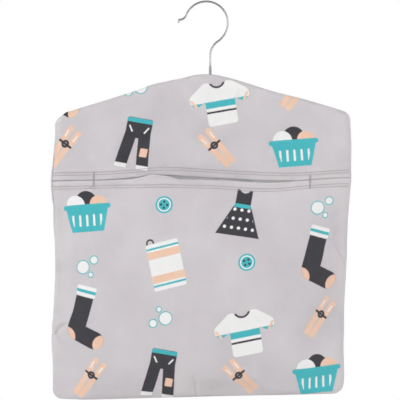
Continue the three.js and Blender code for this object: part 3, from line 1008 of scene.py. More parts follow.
class StitchTree:
    """Geometry nodes that lay stitches of thread along a line on the cloth."""

    UP = "up"
    SIDES = 6
    ARC_POINTS = 5
    SUNK_SHARE = -0.6
    PEAK_SHARE = 2.6
    SEED = 7
    UNEVEN_DEGREES = 3.0

    def __init__(self) -> None:
        """Builds the tree."""
        self.tree = bpy.data.node_groups.new("stitches", "GeometryNodeTree")
        self.add = partial(add_node, self.tree)
        self.names: dict[str, str] = {}
        sizes = ("Pitch", "Length", "Thread", "Bow", "Turn", "Zigzag")
        kinds = {"Line": "Geometry"} | {name: "Float" for name in sizes} | {"Finish": "Material"}
        for name, kind in kinds.items():
            socket = self.tree.interface.new_socket(name, in_out="INPUT", socket_type=f"NodeSocket{kind}")
            self.names[name] = socket.identifier
        self.tree.interface.new_socket("Stitches", in_out="OUTPUT", socket_type="NodeSocketGeometry")
        self.given = self.add("NodeGroupInput").outputs
        line = self.add("GeometryNodeMeshToCurve", {0: self.given["Line"]})
        spaced = self.add("GeometryNodeResampleCurve", {"Curve": line, "Length": self.given["Pitch"]},
                          mode="LENGTH")
        laid = self.add("GeometryNodeInstanceOnPoints",
                        {"Points": spaced, "Instance": self.stitch(), "Rotation": self.rotation()})
        real = self.add("GeometryNodeRealizeInstances", {0: laid})
        dressed = self.add("GeometryNodeSetMaterial", {"Geometry": real, "Material": self.given["Finish"]})
        self.add("NodeGroupOutput", {0: dressed})

    def stitch(self) -> bpy.types.Node:
        """One stitch along X: an arc of thread whose ends dip into the cloth.

        Returns:
            The stitch's mesh.
        """
        shares = (("Length", -0.5), ("Length", 0.5), ("Bow", self.SUNK_SHARE), ("Bow", self.PEAK_SHARE),
                  ("Thread", 0.5))
        back, half, sunk, peak, radius = [
            self.add("ShaderNodeMath", {0: self.given[name], 1: share}, operation="MULTIPLY")
            for name, share in shares]
        start = self.add("ShaderNodeCombineXYZ", {"X": back, "Z": sunk})
        middle = self.add("ShaderNodeCombineXYZ", {"Z": peak})
        end = self.add("ShaderNodeCombineXYZ", {"X": half, "Z": sunk})
        arc = self.add("GeometryNodeCurveQuadraticBezier",
                       {"Resolution": self.ARC_POINTS, "Start": start, "Middle": middle, "End": end})
        ring = self.add("GeometryNodeCurvePrimitiveCircle", {"Resolution": self.SIDES, "Radius": radius})
        return self.add("GeometryNodeCurveToMesh", {"Curve": arc, "Profile Curve": ring, "Fill Caps": True})

    def rotation(self) -> bpy.types.Node:
        """Along the line, up from the cloth, then turned to each side in turn.

        Returns:
            Each stitch's rotation.
        """
        tangent = self.add("GeometryNodeInputTangent")
        up = self.add("GeometryNodeInputNamedAttribute", {"Name": self.UP}, data_type="FLOAT_VECTOR")
        along = self.add("FunctionNodeAlignRotationToVector", {"Vector": tangent}, axis="X")
        stood = self.add("FunctionNodeAlignRotationToVector", {"Rotation": along, "Vector": up},
                         axis="Z", pivot_axis="X")
        number = self.add("GeometryNodeInputIndex")
        odd = self.add("ShaderNodeMath", {0: number, 1: 2.0}, operation="MODULO")
        sign = self.add("ShaderNodeMapRange", {"Value": odd, "To Min": -1.0, "To Max": 1.0})
        swing = self.add("ShaderNodeMath", {0: sign, 1: self.given["Zigzag"], 2: self.given["Turn"]},
                         operation="MULTIPLY_ADD")
        uneven = math.radians(self.UNEVEN_DEGREES)
        chance = self.add("FunctionNodeRandomValue", {"Seed": self.SEED, 2: -uneven, 3: uneven},
                          data_type="FLOAT")
        angle = self.add("ShaderNodeMath", {0: swing, 1: chance}, operation="ADD")
        spin = self.add("FunctionNodeAxisAngleToRotation", {"Axis": (0.0, 0.0, 1.0), "Angle": angle})
        return self.add("FunctionNodeRotateRotation", {"Rotation": stood, "Rotate By": spin},
                        rotation_space="LOCAL")

    def sew(self, name: str, places: Grid, normals: Grid, sizes: StitchSizes, thread: bpy.types.Material,
            node: str | None = None) -> bpy.types.Object:
        """Lays stitches along a line.

        Args:
            name: the piece's name.
            places: points of the line, in millimetres.
            normals: unit vectors out of the cloth at those points.
            sizes: the stitch's sizes.
            thread: the thread's material.
            node: the solid that the stitches stand for, if they have one.
        Returns:
            The stitches, as one plain mesh.
        """
        mesh = bpy.data.meshes.new(f"{name}_line")
        mesh.from_pydata((places * MM).tolist(), [(i, i + 1) for i in range(len(places) - 1)], [])
        up = mesh.attributes.new(self.UP, "FLOAT_VECTOR", "POINT")
        up.data.foreach_set("vector", normals.astype(np.float32).ravel())
        carrier = add_object(f"{name}_line", mesh)
        modifier = carrier.modifiers.new("stitches", "NODES")
        modifier.node_group = self.tree
        for key, value in (sizes.inputs() | {"Finish": thread}).items():
            modifier[self.names[key]] = value
        sewn = carrier.evaluated_get(bpy.context.evaluated_depsgraph_get())
        plain = bpy.data.meshes.new_from_object(sewn)
        plain.name = name
        plain.shade_smooth()
        bpy.data.objects.remove(carrier)
        return enter(add_object(name, plain), Body.BAG, node)


@dataclass(frozen=True)
class BarTack:
    """One bar tack: its node, its place along the mouth and its reach up and down, in millimetres."""

    node: str
    place: float
    above: float
    below: float


@dataclass
class Sewing:
    """Topstitching, bar tacks and overlocked seam allowances, in millimetres."""

    cut: BagCut
    stitches: StitchTree
    thread: bpy.types.Material
    tack_thread: bpy.types.Material
    raw_edge: bpy.types.Material
    topstitch: StitchSizes = StitchSizes(pitch=2.9, length=2.5, thread=0.55, bow=0.26)
    bar: StitchSizes = StitchSizes(pitch=0.42, length=1.9, thread=0.46, bow=0.3, turn=90.0, zigzag=9.0)
    overlock: StitchSizes = StitchSizes(pitch=2.4, length=4.4, thread=0.4, bow=0.2, turn=62.0, zigzag=28.0)
    low_overlock: StitchSizes = StitchSizes(pitch=2.4, length=1.5, thread=0.4, bow=0.2, turn=62.0,
                                            zigzag=28.0)
    row_step: float = 1.5
    row_reach: float = 0.975
    tacks: tuple[BarTack, ...] = (BarTack("left_bar_tack", -0.989, 6.7, 5.7),
                                  BarTack("right_bar_tack", 1.005, 3.9, 8.0))
    tack_step: float = 0.7
    tack_starts: tuple[float, float] = (0.6, 0.8)
    allowance: float = 5.0
    shoulder_allowance: float = 2.9
    recess: float = 0.35
    corner_room: float = 6.0
    end_room: float = 8.0
    stem_room: float = 4.6
    strip_shares: tuple[float, ...] = (0.0, 0.15, 0.4, 0.7, 1.0)
    strip_halves: tuple[float, ...] = (0.15, 0.35, 0.5, 0.55, 0.5)
    side_rows: int = 90
    shoulder_rows: int = 70
    bottom_rows: int = 130

    def topstitching(self, panel: Panel, node_stem: str) -> list[bpy.types.Object]:
        """Sews the twin rows along a hem.

        Args:
            panel: the hemmed panel.
            node_stem: start of the names of the rows' nodes.
        Returns:
            The rows.
        """
        count = round(self.cut.mouth_width / self.row_step)
        share = np.linspace(-self.row_reach, self.row_reach, count)
        rows = []
        for which, inset in zip(("inner", "outer"), panel.stitch_insets):
            places, normals = panel.line(share, inset + panel.hem_creep(share))
            rows.append(self.stitches.sew(f"{node_stem}_thread_{which}", places, normals, self.topstitch,
                                          self.thread, f"{node_stem}_stitch_{which}"))
        return rows

    def bar_tacks(self, upper: Panel, lower: Panel) -> list[bpy.types.Object]:
        """Closes both ends of the mouth.

        Args:
            upper: the panel above the mouth.
            lower: the panel below it.
        Returns:
            The tacks.
        """
        made = []
        for tack in self.tacks:
            share = tack.place * self.cut.mouth_opening / self.cut.mouth_width
            near = np.array([share - 0.004, share, share + 0.004])
            spots = [upper.line(near, d) for d in np.arange(tack.above, self.tack_starts[0], -self.tack_step)]
            spots += [lower.line(near, d) for d in np.arange(self.tack_starts[1], tack.below, self.tack_step)]
            places, normals = (np.array([spot[part][1] for spot in spots]) for part in (0, 1))
            made.append(self.stitches.sew(f"{tack.node}_thread", places, normals, self.bar, self.tack_thread,
                                          tack.node))
        return made

    def seam(self, name: str, share: Grid, t: Grid, loop: StitchSizes) -> list[bpy.types.Object]:
        """Makes one seam allowance and overlocks its raw edge.

        Args:
            name: the seam's node.
            share: shares across, a grid from the seam to the raw edge and along it.
            t: heights, in the same grid.
            loop: sizes of the overlock's loops.
        Returns:
            The allowance and its thread.
        """
        half = np.broadcast_to(self.strip_halves, share.shape)
        turn = self.cut.seam_turn(share, t)
        aside = np.stack([turn, np.zeros_like(turn), np.zeros_like(turn)], axis=-1)
        front = self.cut.hang(share, t, -half) + aside
        rear = self.cut.hang(share, t, half) + aside
        places = np.concatenate([front.reshape(-1, 3), rear.reshape(-1, 3)])
        strip = mesh_object(f"{name}_allowance", places, slab_faces(*share.shape), [self.raw_edge])
        recalculate(strip)
        enter(strip, Body.BAG, name)
        line = mix(front[:, 2], front[:, -1], 0.5)
        facing = np.tile([0.0, -1.0, 0.0], (len(line), 1))
        return [strip, self.stitches.sew(f"{name}_overlock", line, facing, loop, self.thread)]

    def seams(self) -> list[bpy.types.Object]:
        """Makes all five seam allowances.

        Returns:
            The allowances and their threads.
        """
        cut, half = self.cut, self.cut.shoulder_width / 2
        insets = self.recess + self.allowance * np.array(self.strip_shares)
        low_insets = self.recess + self.shoulder_allowance * np.array(self.strip_shares)
        ends = 1.0 - self.end_room / half
        made = []
        for side, word in ((-1.0, "left"), (1.0, "right")):
            top = float(cut.top_at(np.full(1, side))[0]) - self.shoulder_allowance - self.corner_room
            foot = float(cut.base_at(np.full(1, side))[0]) + self.allowance + self.corner_room
            t, inset = np.meshgrid(np.linspace(foot, top, self.side_rows), insets, indexing="ij")
            made += self.seam(f"{word}_side_seam", side * (1.0 - inset / half), t, self.overlock)
            stem = (cut.stem_x + side * self.stem_room - cut.shift) / half
            along = np.linspace(stem, side * ends, self.shoulder_rows)
            share, inset = np.meshgrid(along, low_insets, indexing="ij")
            room = 1.0 + np.minimum(cut.top_ripple(share), 0.0) / low_insets[-1]
            t = cut.top_at(share) - inset * room
            made += self.seam(f"{word}_shoulder_seam", share, t, self.low_overlock)
        share, inset = np.meshgrid(np.linspace(-ends, ends, self.bottom_rows), insets, indexing="ij")
        return made + self.seam("bottom_seam", share, cut.base_at(share) + inset, self.overlock)


def recalculate(made: bpy.types.Object) -> None:
    """Turns a closed mesh's faces outwards.

    Args:
        made: the mesh object.
    """
    work = bmesh.new()
    work.from_mesh(made.data)
    bmesh.ops.recalc_face_normals(work, faces=work.faces)
    work.to_mesh(made.data)
    work.free()


@dataclass(frozen=True)
class Hook:
    """The wire hook: lip, loop, neck and stem, with a rolled thread on its shank, in millimetres."""

    crown_z: float
    stem_x: float
    wire: float = 2.0
    loop_radius: float = 21.5
    lip_angle: float = 159.0
    lip_radius: float = 7.0
    tip_radius: float = 1.0
    tip_length: float = 2.2
    tip_points: int = 6
    tip_rounding: tuple[float, ...] = (0.45, 0.8, 0.97)
    neck_radius: float = 14.0
    neck_sway: float = 0.85
    sway_rise: float = 8.0
    sway_reach: float = 6.0
    stem_points: int = 11
    shank: float = 2.9
    shank_shown: float = 6.8
    shank_sunk: float = 27.7
    shank_neck: float = 0.5
    thread_pitch: float = 0.8
    thread_depth: float = 0.14
    thread_runout: float = 1.2
    thread_crest: float = 1.4
    thread_rings: int = 8
    arc_step: float = 0.8
    least_steps: int = 8
    sides: int = 28

    def arc(self, x: float, z: float, radius: float, start: float, end: float) -> Grid:
        """Points along an arc of the wire's middle line.

        Args:
            x: the arc's middle.
            z: its height.
            radius: its radius.
            start: first angle, in radians.
            end: last angle.
        Returns:
            Points with x and z, the first left out.
        """
        count = max(self.least_steps, round(abs(end - start) * radius / self.arc_step))
        angle = np.linspace(start, end, count + 1)[1:]
        return np.stack([x + radius * np.cos(angle), z + radius * np.sin(angle)], axis=-1)

    def upright(self, x: float, heights: Grid) -> Grid:
        """Points straight up or down at x."""
        return np.stack([np.full(len(heights), x), heights], axis=-1)

    def middle_line(self) -> Grid:
        """The wire's middle line, from its tip to the top of the thread.

        Returns:
            Points with x and z.
        """
        loop_z = -(self.loop_radius - self.wire / 2)
        lip = math.radians(self.lip_angle)
        reach = self.loop_radius + self.lip_radius
        lip_x, lip_z = reach * math.cos(lip), loop_z + reach * math.sin(lip)
        bend_z = lip_z - self.lip_radius - self.tip_radius
        neck_x = self.stem_x + self.neck_radius
        span = self.loop_radius + self.neck_radius
        neck_z = loop_z - math.sqrt(span ** 2 - neck_x ** 2)
        neck = -math.acos(neck_x / span)
        stem_end = self.crown_z + self.shank_shown + self.shank_neck
        tip = np.linspace(bend_z - self.tip_length, bend_z, self.tip_points)
        line = np.concatenate([
            self.upright(lip_x - self.tip_radius, tip),
            self.arc(lip_x, bend_z, self.tip_radius, math.pi, math.pi / 2),
            self.arc(lip_x, lip_z, self.lip_radius, -math.pi / 2, lip - math.pi),
            self.arc(0.0, loop_z, self.loop_radius, lip, neck),
            self.arc(neck_x, neck_z, self.neck_radius, neck + math.pi, math.pi),
            self.upright(self.stem_x, np.linspace(neck_z, stem_end, self.stem_points + 1)[1:]),
        ])
        line[:, 0] += self.neck_sway * bump(line[:, 1], neck_z + self.sway_rise, self.sway_reach)
        return line

    def rolled_thread(self, heights: Grid, turn: Grid) -> Grid:
        """The shank's thread, which runs out at its top.

        Args:
            heights: heights of its rings, from the top.
            turn: angles of each ring's points.
        Returns:
            A radius for each point of each ring.
        """
        phase = (heights[:, None] / self.thread_pitch + turn[None, :] / (2.0 * math.pi)) % 1.0
        ridge = 1.0 - np.abs(2.0 * phase - 1.0)
        runout = smooth((heights[0] - heights) / self.thread_runout)[:, None]
        return self.shank / 2 - self.thread_depth * (1.0 - smooth(ridge * self.thread_crest)) * runout

    def build(self, steel: bpy.types.Material) -> bpy.types.Object:
        """Sweeps the wire and winds the thread on its shank.

        Args:
            steel: the wire's material.
        Returns:
            The hook.
        """
        line = self.middle_line()
        wire = np.full((len(line), self.sides), self.wire / 2)
        wire[:len(self.tip_rounding)] *= np.array(self.tip_rounding)[:, None]
        top = self.crown_z + self.shank_shown
        foot = top - self.shank_shown - self.shank_sunk
        shank = np.arange(top, foot, -self.thread_pitch / self.thread_rings)
        turn = np.linspace(0.0, 2.0 * math.pi, self.sides, endpoint=False)
        radius = np.concatenate([wire, self.rolled_thread(shank, turn)])
        line = np.concatenate([line, self.upright(self.stem_x, shank)])
        heading = np.gradient(line, axis=0)
        heading = heading / np.linalg.norm(heading, axis=-1, keepdims=True)
        x = line[:, :1] - radius * np.cos(turn) * heading[:, 1:]
        z = line[:, 1:] + radius * np.cos(turn) * heading[:, :1]
        places = np.stack([x, radius * np.sin(turn), z], axis=-1)
        along = np.concatenate([[0.0], np.cumsum(np.linalg.norm(np.diff(line, axis=0), axis=-1))])
        pattern = np.stack(np.broadcast_arrays(turn[None, :] * self.wire / 2, along[:, None]), axis=-1)
        numbers = np.arange(len(line) * self.sides).reshape(len(line), self.sides)
        beside = np.roll(numbers, -1, axis=1)
        sides = np.stack([numbers[:-1], beside[:-1], beside[1:], numbers[1:]], axis=-1)
        faces = sides.reshape(-1, 4).tolist() + [numbers[0].tolist(), numbers[-1][::-1].tolist()]
        made = mesh_object("wire_hook", places.reshape(-1, 3), faces, [steel], None, pattern.reshape(-1, 2))
        recalculate(made)
        return enter(made, Body.HOOK, "hook")


class PrintPlate:
    """Draws flat shapes in one motif's own coordinates, as distances from outlines in drawing units."""

    def __init__(self, tree: bpy.types.NodeTree, at: Source) -> None:
        """Takes the tree and the place on the motif."""
        self.add = partial(add_node, tree)
        self.tree, self.at = tree, at

    def folded(self) -> "PrintPlate":
        """A plate whose left half mirrors its right half.

        Returns:
            The plate.
        """
        parts = self.add("ShaderNodeSeparateXYZ", {0: self.at}).outputs
        right = self.add("ShaderNodeMath", {0: parts["X"]}, operation="ABSOLUTE")
        return PrintPlate(self.tree, self.add("ShaderNodeCombineXYZ", {"X": right, "Y": parts["Y"]}))

    def quartered(self) -> "PrintPlate":
        """A plate whose four quarters mirror one another."""
        return PrintPlate(self.tree, self.add("ShaderNodeVectorMath", {0: self.at}, operation="ABSOLUTE"))

    def repeated(self, across: float, up: float) -> "PrintPlate":
        """A plate that starts again every so many units across and up.

        Args:
            across: the repeat's width.
            up: its height.
        Returns:
            The plate.
        """
        half, back = (across / 2, up / 2, 1.0), (-across / 2, -up / 2, -1.0)
        wrapped = self.add("ShaderNodeVectorMath", {0: self.at, 1: half, 2: back}, operation="WRAP")
        return PrintPlate(self.tree, wrapped)

    def less(self, shape: Source, margin: float) -> bpy.types.Node:
        """A distance less a margin, which moves an outline out."""
        return self.add("ShaderNodeMath", {0: shape, 1: margin}, operation="SUBTRACT")

    def lined(self, shape: Source, half: float) -> bpy.types.Node:
        """A line of half width half along an outline."""
        return self.less(self.add("ShaderNodeMath", {0: shape}, operation="ABSOLUTE"), half)

    def disc(self, x: float, y: float, radius: float) -> bpy.types.Node:
        """A round spot."""
        far = self.add("ShaderNodeVectorMath", {0: self.at, 1: (x, y, 0.0)}, operation="DISTANCE")
        return self.less(far, radius)

    def ring(self, x: float, y: float, radius: float, half: float) -> bpy.types.Node:
        """A round line of half width half."""
        return self.lined(self.disc(x, y, radius), half)

    def stripe(self, across: tuple[float, float], middle: float, half: float) -> bpy.types.Node:
        """An endless stripe, across a direction."""
        far = self.add("ShaderNodeVectorMath", {0: self.at, 1: (*across, 0.0)}, operation="DOT_PRODUCT")
        return self.lined(self.less(far, middle), half)

    def band(self, middle: float, half: float) -> bpy.types.Node:
        """An endless level stripe."""
        return self.stripe((0.0, 1.0), middle, half)

    def bar(self, start: tuple[float, float], end: tuple[float, float], radius: float) -> bpy.types.Node:
        """A straight stroke with round ends.

        Args:
            start: its first point.
            end: its last point.
            radius: half its width.
        Returns:
            Its distance.
        """
        way = (end[0] - start[0], end[1] - start[1], 0.0)
        square = way[0] ** 2 + way[1] ** 2
        unit = tuple(part / square for part in way)
        rel = self.add("ShaderNodeVectorMath", {0: self.at, 1: (*start, 0.0)}, operation="SUBTRACT")
        dot = self.add("ShaderNodeVectorMath", {0: rel, 1: unit}, operation="DOT_PRODUCT")
        share = self.add("ShaderNodeClamp", {"Value": dot})
        near = self.add("ShaderNodeVectorMath", {0: way, "Scale": share}, operation="SCALE")
        return self.less(self.add("ShaderNodeVectorMath", {0: rel, 1: near}, operation="DISTANCE"), radius)

    def block(self, x: float, y: float, half_x: float, half_y: float, corner: float) -> bpy.types.Node:
        """A rectangle with round corners.

        Args:
            x: its middle.
            y: its height.
            half_x: half its width.
            half_y: half its height.
            corner: its corners' radius.
        Returns:
            Its distance.
        """
        inner = (half_x - corner, half_y - corner, 0.0)
        rel = self.add("ShaderNodeVectorMath", {0: self.at, 1: (x, y, 0.0)}, operation="SUBTRACT")
        fold = self.add("ShaderNodeVectorMath", {0: rel}, operation="ABSOLUTE")
        over = self.add("ShaderNodeVectorMath", {0: fold, 1: inner}, operation="SUBTRACT")
        past = self.add("ShaderNodeVectorMath", {0: over, 1: (0.0, 0.0, 0.0)}, operation="MAXIMUM")
        return self.less(self.add("ShaderNodeVectorMath", {0: past}, operation="LENGTH"), corner)

    def joined(self, *shapes: Source) -> Source:
        """All the shapes as one.

        Args:
            shapes: the shapes' distances.
        Returns:
            The distance of them all.
        """
        whole = shapes[0]
        for shape in shapes[1:]:
            whole = self.add("ShaderNodeMath", {0: whole, 1: shape}, operation="MINIMUM")
        return whole

    def within(self, shape: Source, limit: Source) -> bpy.types.Node:
        """The part of a shape that lies in another."""
        return self.add("ShaderNodeMath", {0: shape, 1: limit}, operation="MAXIMUM")

    def without(self, shape: Source, hole: Source) -> bpy.types.Node:
        """A shape with another cut out of it."""
        return self.within(shape, self.add("ShaderNodeMath", {0: hole, 1: -1.0}, operation="MULTIPLY"))


Layer = tuple[str, Source]


@dataclass(frozen=True)
class WashdayPrint:
    """A tossed print of washing, with pegs, buttons and bubbles between; all but unit is in drawing units."""

    charcoal: str = "#454449"
    white: str = "#F0EFEE"
    teal: str = "#4FB5BD"
    peach: str = "#EEC4AE"
    width: float = 186.0
    height: float = 176.0
    drop: float = 44.0
    edge_softness: float = 0.35
    unit_mm: float = 1.25

    def local(self, tree: bpy.types.NodeTree, at: Source, x: float, y: float, turn: float) -> PrintPlate:
        """Coordinates of one motif, which comes again every width, one drop further up.

        Args:
            tree: the material's tree.
            at: the place on the flat cloth.
            x: the motif's middle in the repeat.
            y: its height there.
            turn: degrees that it is turned by.
        Returns:
            A plate to draw the motif on.
        """
        add = partial(add_node, tree)
        rel = add("ShaderNodeVectorMath", {0: at, 1: (x, y, 0.0)}, operation="SUBTRACT")
        parts = add("ShaderNodeSeparateXYZ", {0: rel}).outputs
        column = add("ShaderNodeMath", {0: parts["X"], 1: 1.0 / self.width, 2: 0.5}, operation="MULTIPLY_ADD")
        number = add("ShaderNodeMath", {0: column}, operation="FLOOR")
        across = add("ShaderNodeMath", {0: number, 1: -self.width, 2: parts["X"]}, operation="MULTIPLY_ADD")
        shifted = add("ShaderNodeMath", {0: number, 1: -self.drop, 2: parts["Y"]}, operation="MULTIPLY_ADD")
        up = add("ShaderNodeMath", {0: shifted, 1: self.height / 2, 2: -self.height / 2}, operation="WRAP")
        both = add("ShaderNodeCombineXYZ", {"X": across, "Y": up})
        turned = add("ShaderNodeVectorRotate", {"Vector": both, "Angle": math.radians(-turn)},
                     rotation_type="Z_AXIS")
        return PrintPlate(tree, turned)

    def sock(self, plate: PrintPlate) -> list[Layer]:
        """A sock with a pale heel and toe and a striped cuff.

        Args:
            plate: where it is drawn.
        Returns:
            Its inks, from the first laid to the last.
        """
        leg = plate.bar((-6.0, 15.0), (-6.0, -9.0), 7.4)
        sock = plate.joined(leg, plate.bar((-5.0, -12.0), (11.0, -15.5), 7.0))
        cuff = plate.block(-6.0, 20.0, 8.2, 4.2, 1.6)
        return [(self.charcoal, sock),
                (self.peach, plate.within(plate.disc(-12.5, -18.0, 7.6), sock)),
                (self.peach, plate.within(plate.disc(17.5, -17.5, 7.6), sock)),
                (self.white, cuff),
                (self.teal, plate.within(plate.band(20.0, 1.2), cuff))]

    def shirt(self, plate: PrintPlate) -> list[Layer]:
        """A short-sleeved shirt with bands across its chest.

        Args:
            plate: where it is drawn.
        Returns:
            Its inks, from the first laid to the last.
        """
        half = plate.folded()
        body = plate.block(0.0, -5.0, 12.0, 17.0, 2.5)
        whole = plate.joined(body, half.bar((9.0, 7.5), (18.5, 0.5), 5.4))
        shirt = plate.without(whole, plate.disc(0.0, 14.5, 5.4))
        return [(self.white, shirt),
                (self.teal, plate.within(plate.band(-5.0, 2.6), shirt)),
                (self.charcoal, plate.within(plate.band(-11.0, 0.8), body)),
                (self.peach, half.bar((19.2, -4.4), (22.6, 0.4), 0.9)),
                (self.charcoal, plate.within(plate.ring(0.0, 14.5, 6.1, 0.8), whole))]

    def dress(self, plate: PrintPlate) -> list[Layer]:
        """A spotted dress with a belt.

        Args:
            plate: where it is drawn.
        Returns:
            Its inks, from the first laid to the last.
        """
        skirt = plate.within(plate.folded().stripe((0.909, 0.417), 0.0, 7.4), plate.band(-8.5, 12.0))
        whole = plate.joined(skirt, plate.block(0.0, -2.25, 6.2, 18.25, 0.8))
        cloth = plate.without(whole, plate.disc(0.0, 17.8, 4.4))
        spots = plate.repeated(5.6, 7.2).disc(0.0, 0.0, 1.25)
        return [(self.charcoal, cloth),
                (self.white, plate.within(spots, plate.less(skirt, -1.2))),
                (self.teal, plate.within(plate.band(3.2, 1.5), cloth))]

    def towel(self, plate: PrintPlate) -> list[Layer]:
        """A towel with woven bands and a hanging loop.

        Args:
            plate: where it is drawn.
        Returns:
            Its inks, from the first laid to the last.
        """
        towel = plate.block(0.0, 0.0, 13.0, 18.5, 1.6)
        layers = [(self.charcoal, plate.ring(-9.0, 19.5, 2.6, 0.7)), (self.white, towel)]
        for ink, y, half in ((self.peach, 9.5, 3.0), (self.teal, 14.6, 0.8), (self.peach, -9.5, 3.0),
                             (self.teal, -14.6, 0.8)):
            layers.append((ink, plate.within(plate.band(y, half), towel)))
        return layers

    def basket(self, plate: PrintPlate) -> list[Layer]:
        """A tub heaped with washing.

        Args:
            plate: where it is drawn.
        Returns:
            Its inks, from the first laid to the last.
        """
        half, slant = plate.folded(), (0.97, -0.24)
        slots = plate.repeated(5.6, 1000.0).block(0.0, -8.6, 0.85, 4.6, 0.8)
        return [(self.charcoal, plate.disc(0.5, 6.0, 8.6)),
                (self.white, plate.disc(-8.5, 4.0, 7.6)),
                (self.peach, plate.disc(10.0, 3.5, 7.0)),
                (self.teal, plate.within(half.stripe(slant, 0.0, 16.6), plate.band(-7.5, 10.0))),
                (self.white, plate.within(slots, half.stripe(slant, 0.0, 13.6))),
                (self.teal, plate.block(0.0, 2.2, 19.5, 2.0, 2.0))]

    def trousers(self, plate: PrintPlate) -> list[Layer]:
        """Trousers with a waistband and a patch.

        Args:
            plate: where it is drawn.
        Returns:
            Its inks, from the first laid to the last.
        """
        half = plate.folded()
        legs = plate.within(half.bar((5.4, 8.0), (8.8, -19.0), 4.8), plate.band(0.0, 20.0))
        cloth = plate.joined(plate.block(0.0, 12.0, 10.2, 8.0, 1.5), legs)
        return [(self.charcoal, cloth),
                (self.teal, plate.within(plate.band(18.0, 1.7), cloth)),
                (self.white, half.bar((7.6, 13.0), (5.0, 9.0), 0.6)),
                (self.white, plate.within(plate.band(-18.4, 1.7), cloth)),
                (self.peach, plate.block(7.6, -6.5, 3.0, 3.4, 0.8))]

    def peg(self, plate: PrintPlate) -> list[Layer]:
        """A sprung peg.

        Args:
            plate: where it is drawn.
        Returns:
            Its inks, from the first laid to the last.
        """
        half = plate.folded()
        coil = plate.without(plate.disc(0.0, 2.5, 3.1), plate.disc(0.0, 2.5, 1.3))
        return [(self.peach, half.bar((3.8, 14.5), (2.5, -15.5), 2.35)),
                (self.white, half.bar((4.2, 12.5), (3.9, 7.5), 0.5)),
                (self.charcoal, plate.joined(plate.block(0.0, 2.5, 6.2, 0.9, 0.7), coil))]

    def button(self, plate: PrintPlate) -> list[Layer]:
        """A four-hole button.

        Args:
            plate: where it is drawn.
        Returns:
            Its inks, from the first laid to the last.
        """
        return [(self.teal, plate.disc(0.0, 0.0, 6.8)),
                (self.white, plate.ring(0.0, 0.0, 4.9, 0.45)),
                (self.charcoal, plate.quartered().disc(1.7, 1.7, 0.95))]

    def bubbles(self, plate: PrintPlate) -> list[Layer]:
        """Soap bubbles of three sizes.

        Args:
            plate: where it is drawn.
        Returns:
            Its inks, from the first laid to the last.
        """
        spots = [(-3.0, -2.0, 5.2), (6.0, 3.5, 3.2), (3.5, -8.0, 2.1)]
        return [(self.white, plate.joined(*[plate.disc(*spot) for spot in spots])),
                (self.teal, plate.joined(*[plate.ring(*spot, 0.4) for spot in spots]))]

    def layers(self, tree: bpy.types.NodeTree, at: Source) -> list[Layer]:
        """All the print's inks, from the first laid to the last.

        Args:
            tree: the material's tree.
            at: the place on the flat cloth, in millimetres.
        Returns:
            Each ink's colour and shape.
        """
        spots = [(self.dress, 29.0, 41.0, -9.0), (self.shirt, 33.0, 125.0, 10.0),
                 (self.sock, 93.0, 2.0, -14.0), (self.basket, 92.0, 87.0, 4.0),
                 (self.towel, 156.0, 43.0, 13.0), (self.trousers, 153.0, 133.0, -10.0),
                 (self.peg, 31.0, 85.0, 42.0), (self.button, 34.0, 176.0, 15.0),
                 (self.bubbles, 92.0, 44.0, 0.0), (self.peg, 95.0, 131.0, -36.0),
                 (self.button, 154.0, 90.0, 40.0), (self.bubbles, 153.0, 0.0, 170.0)]
        scale = 1.0 / self.unit_mm
        drawn = add_node(tree, "ShaderNodeVectorMath", {0: at, "Scale": scale}, operation="SCALE")
        made = []
        for draw, x, y, turn in spots:
            made += draw(self.local(tree, drawn, x, y, turn))
        return made


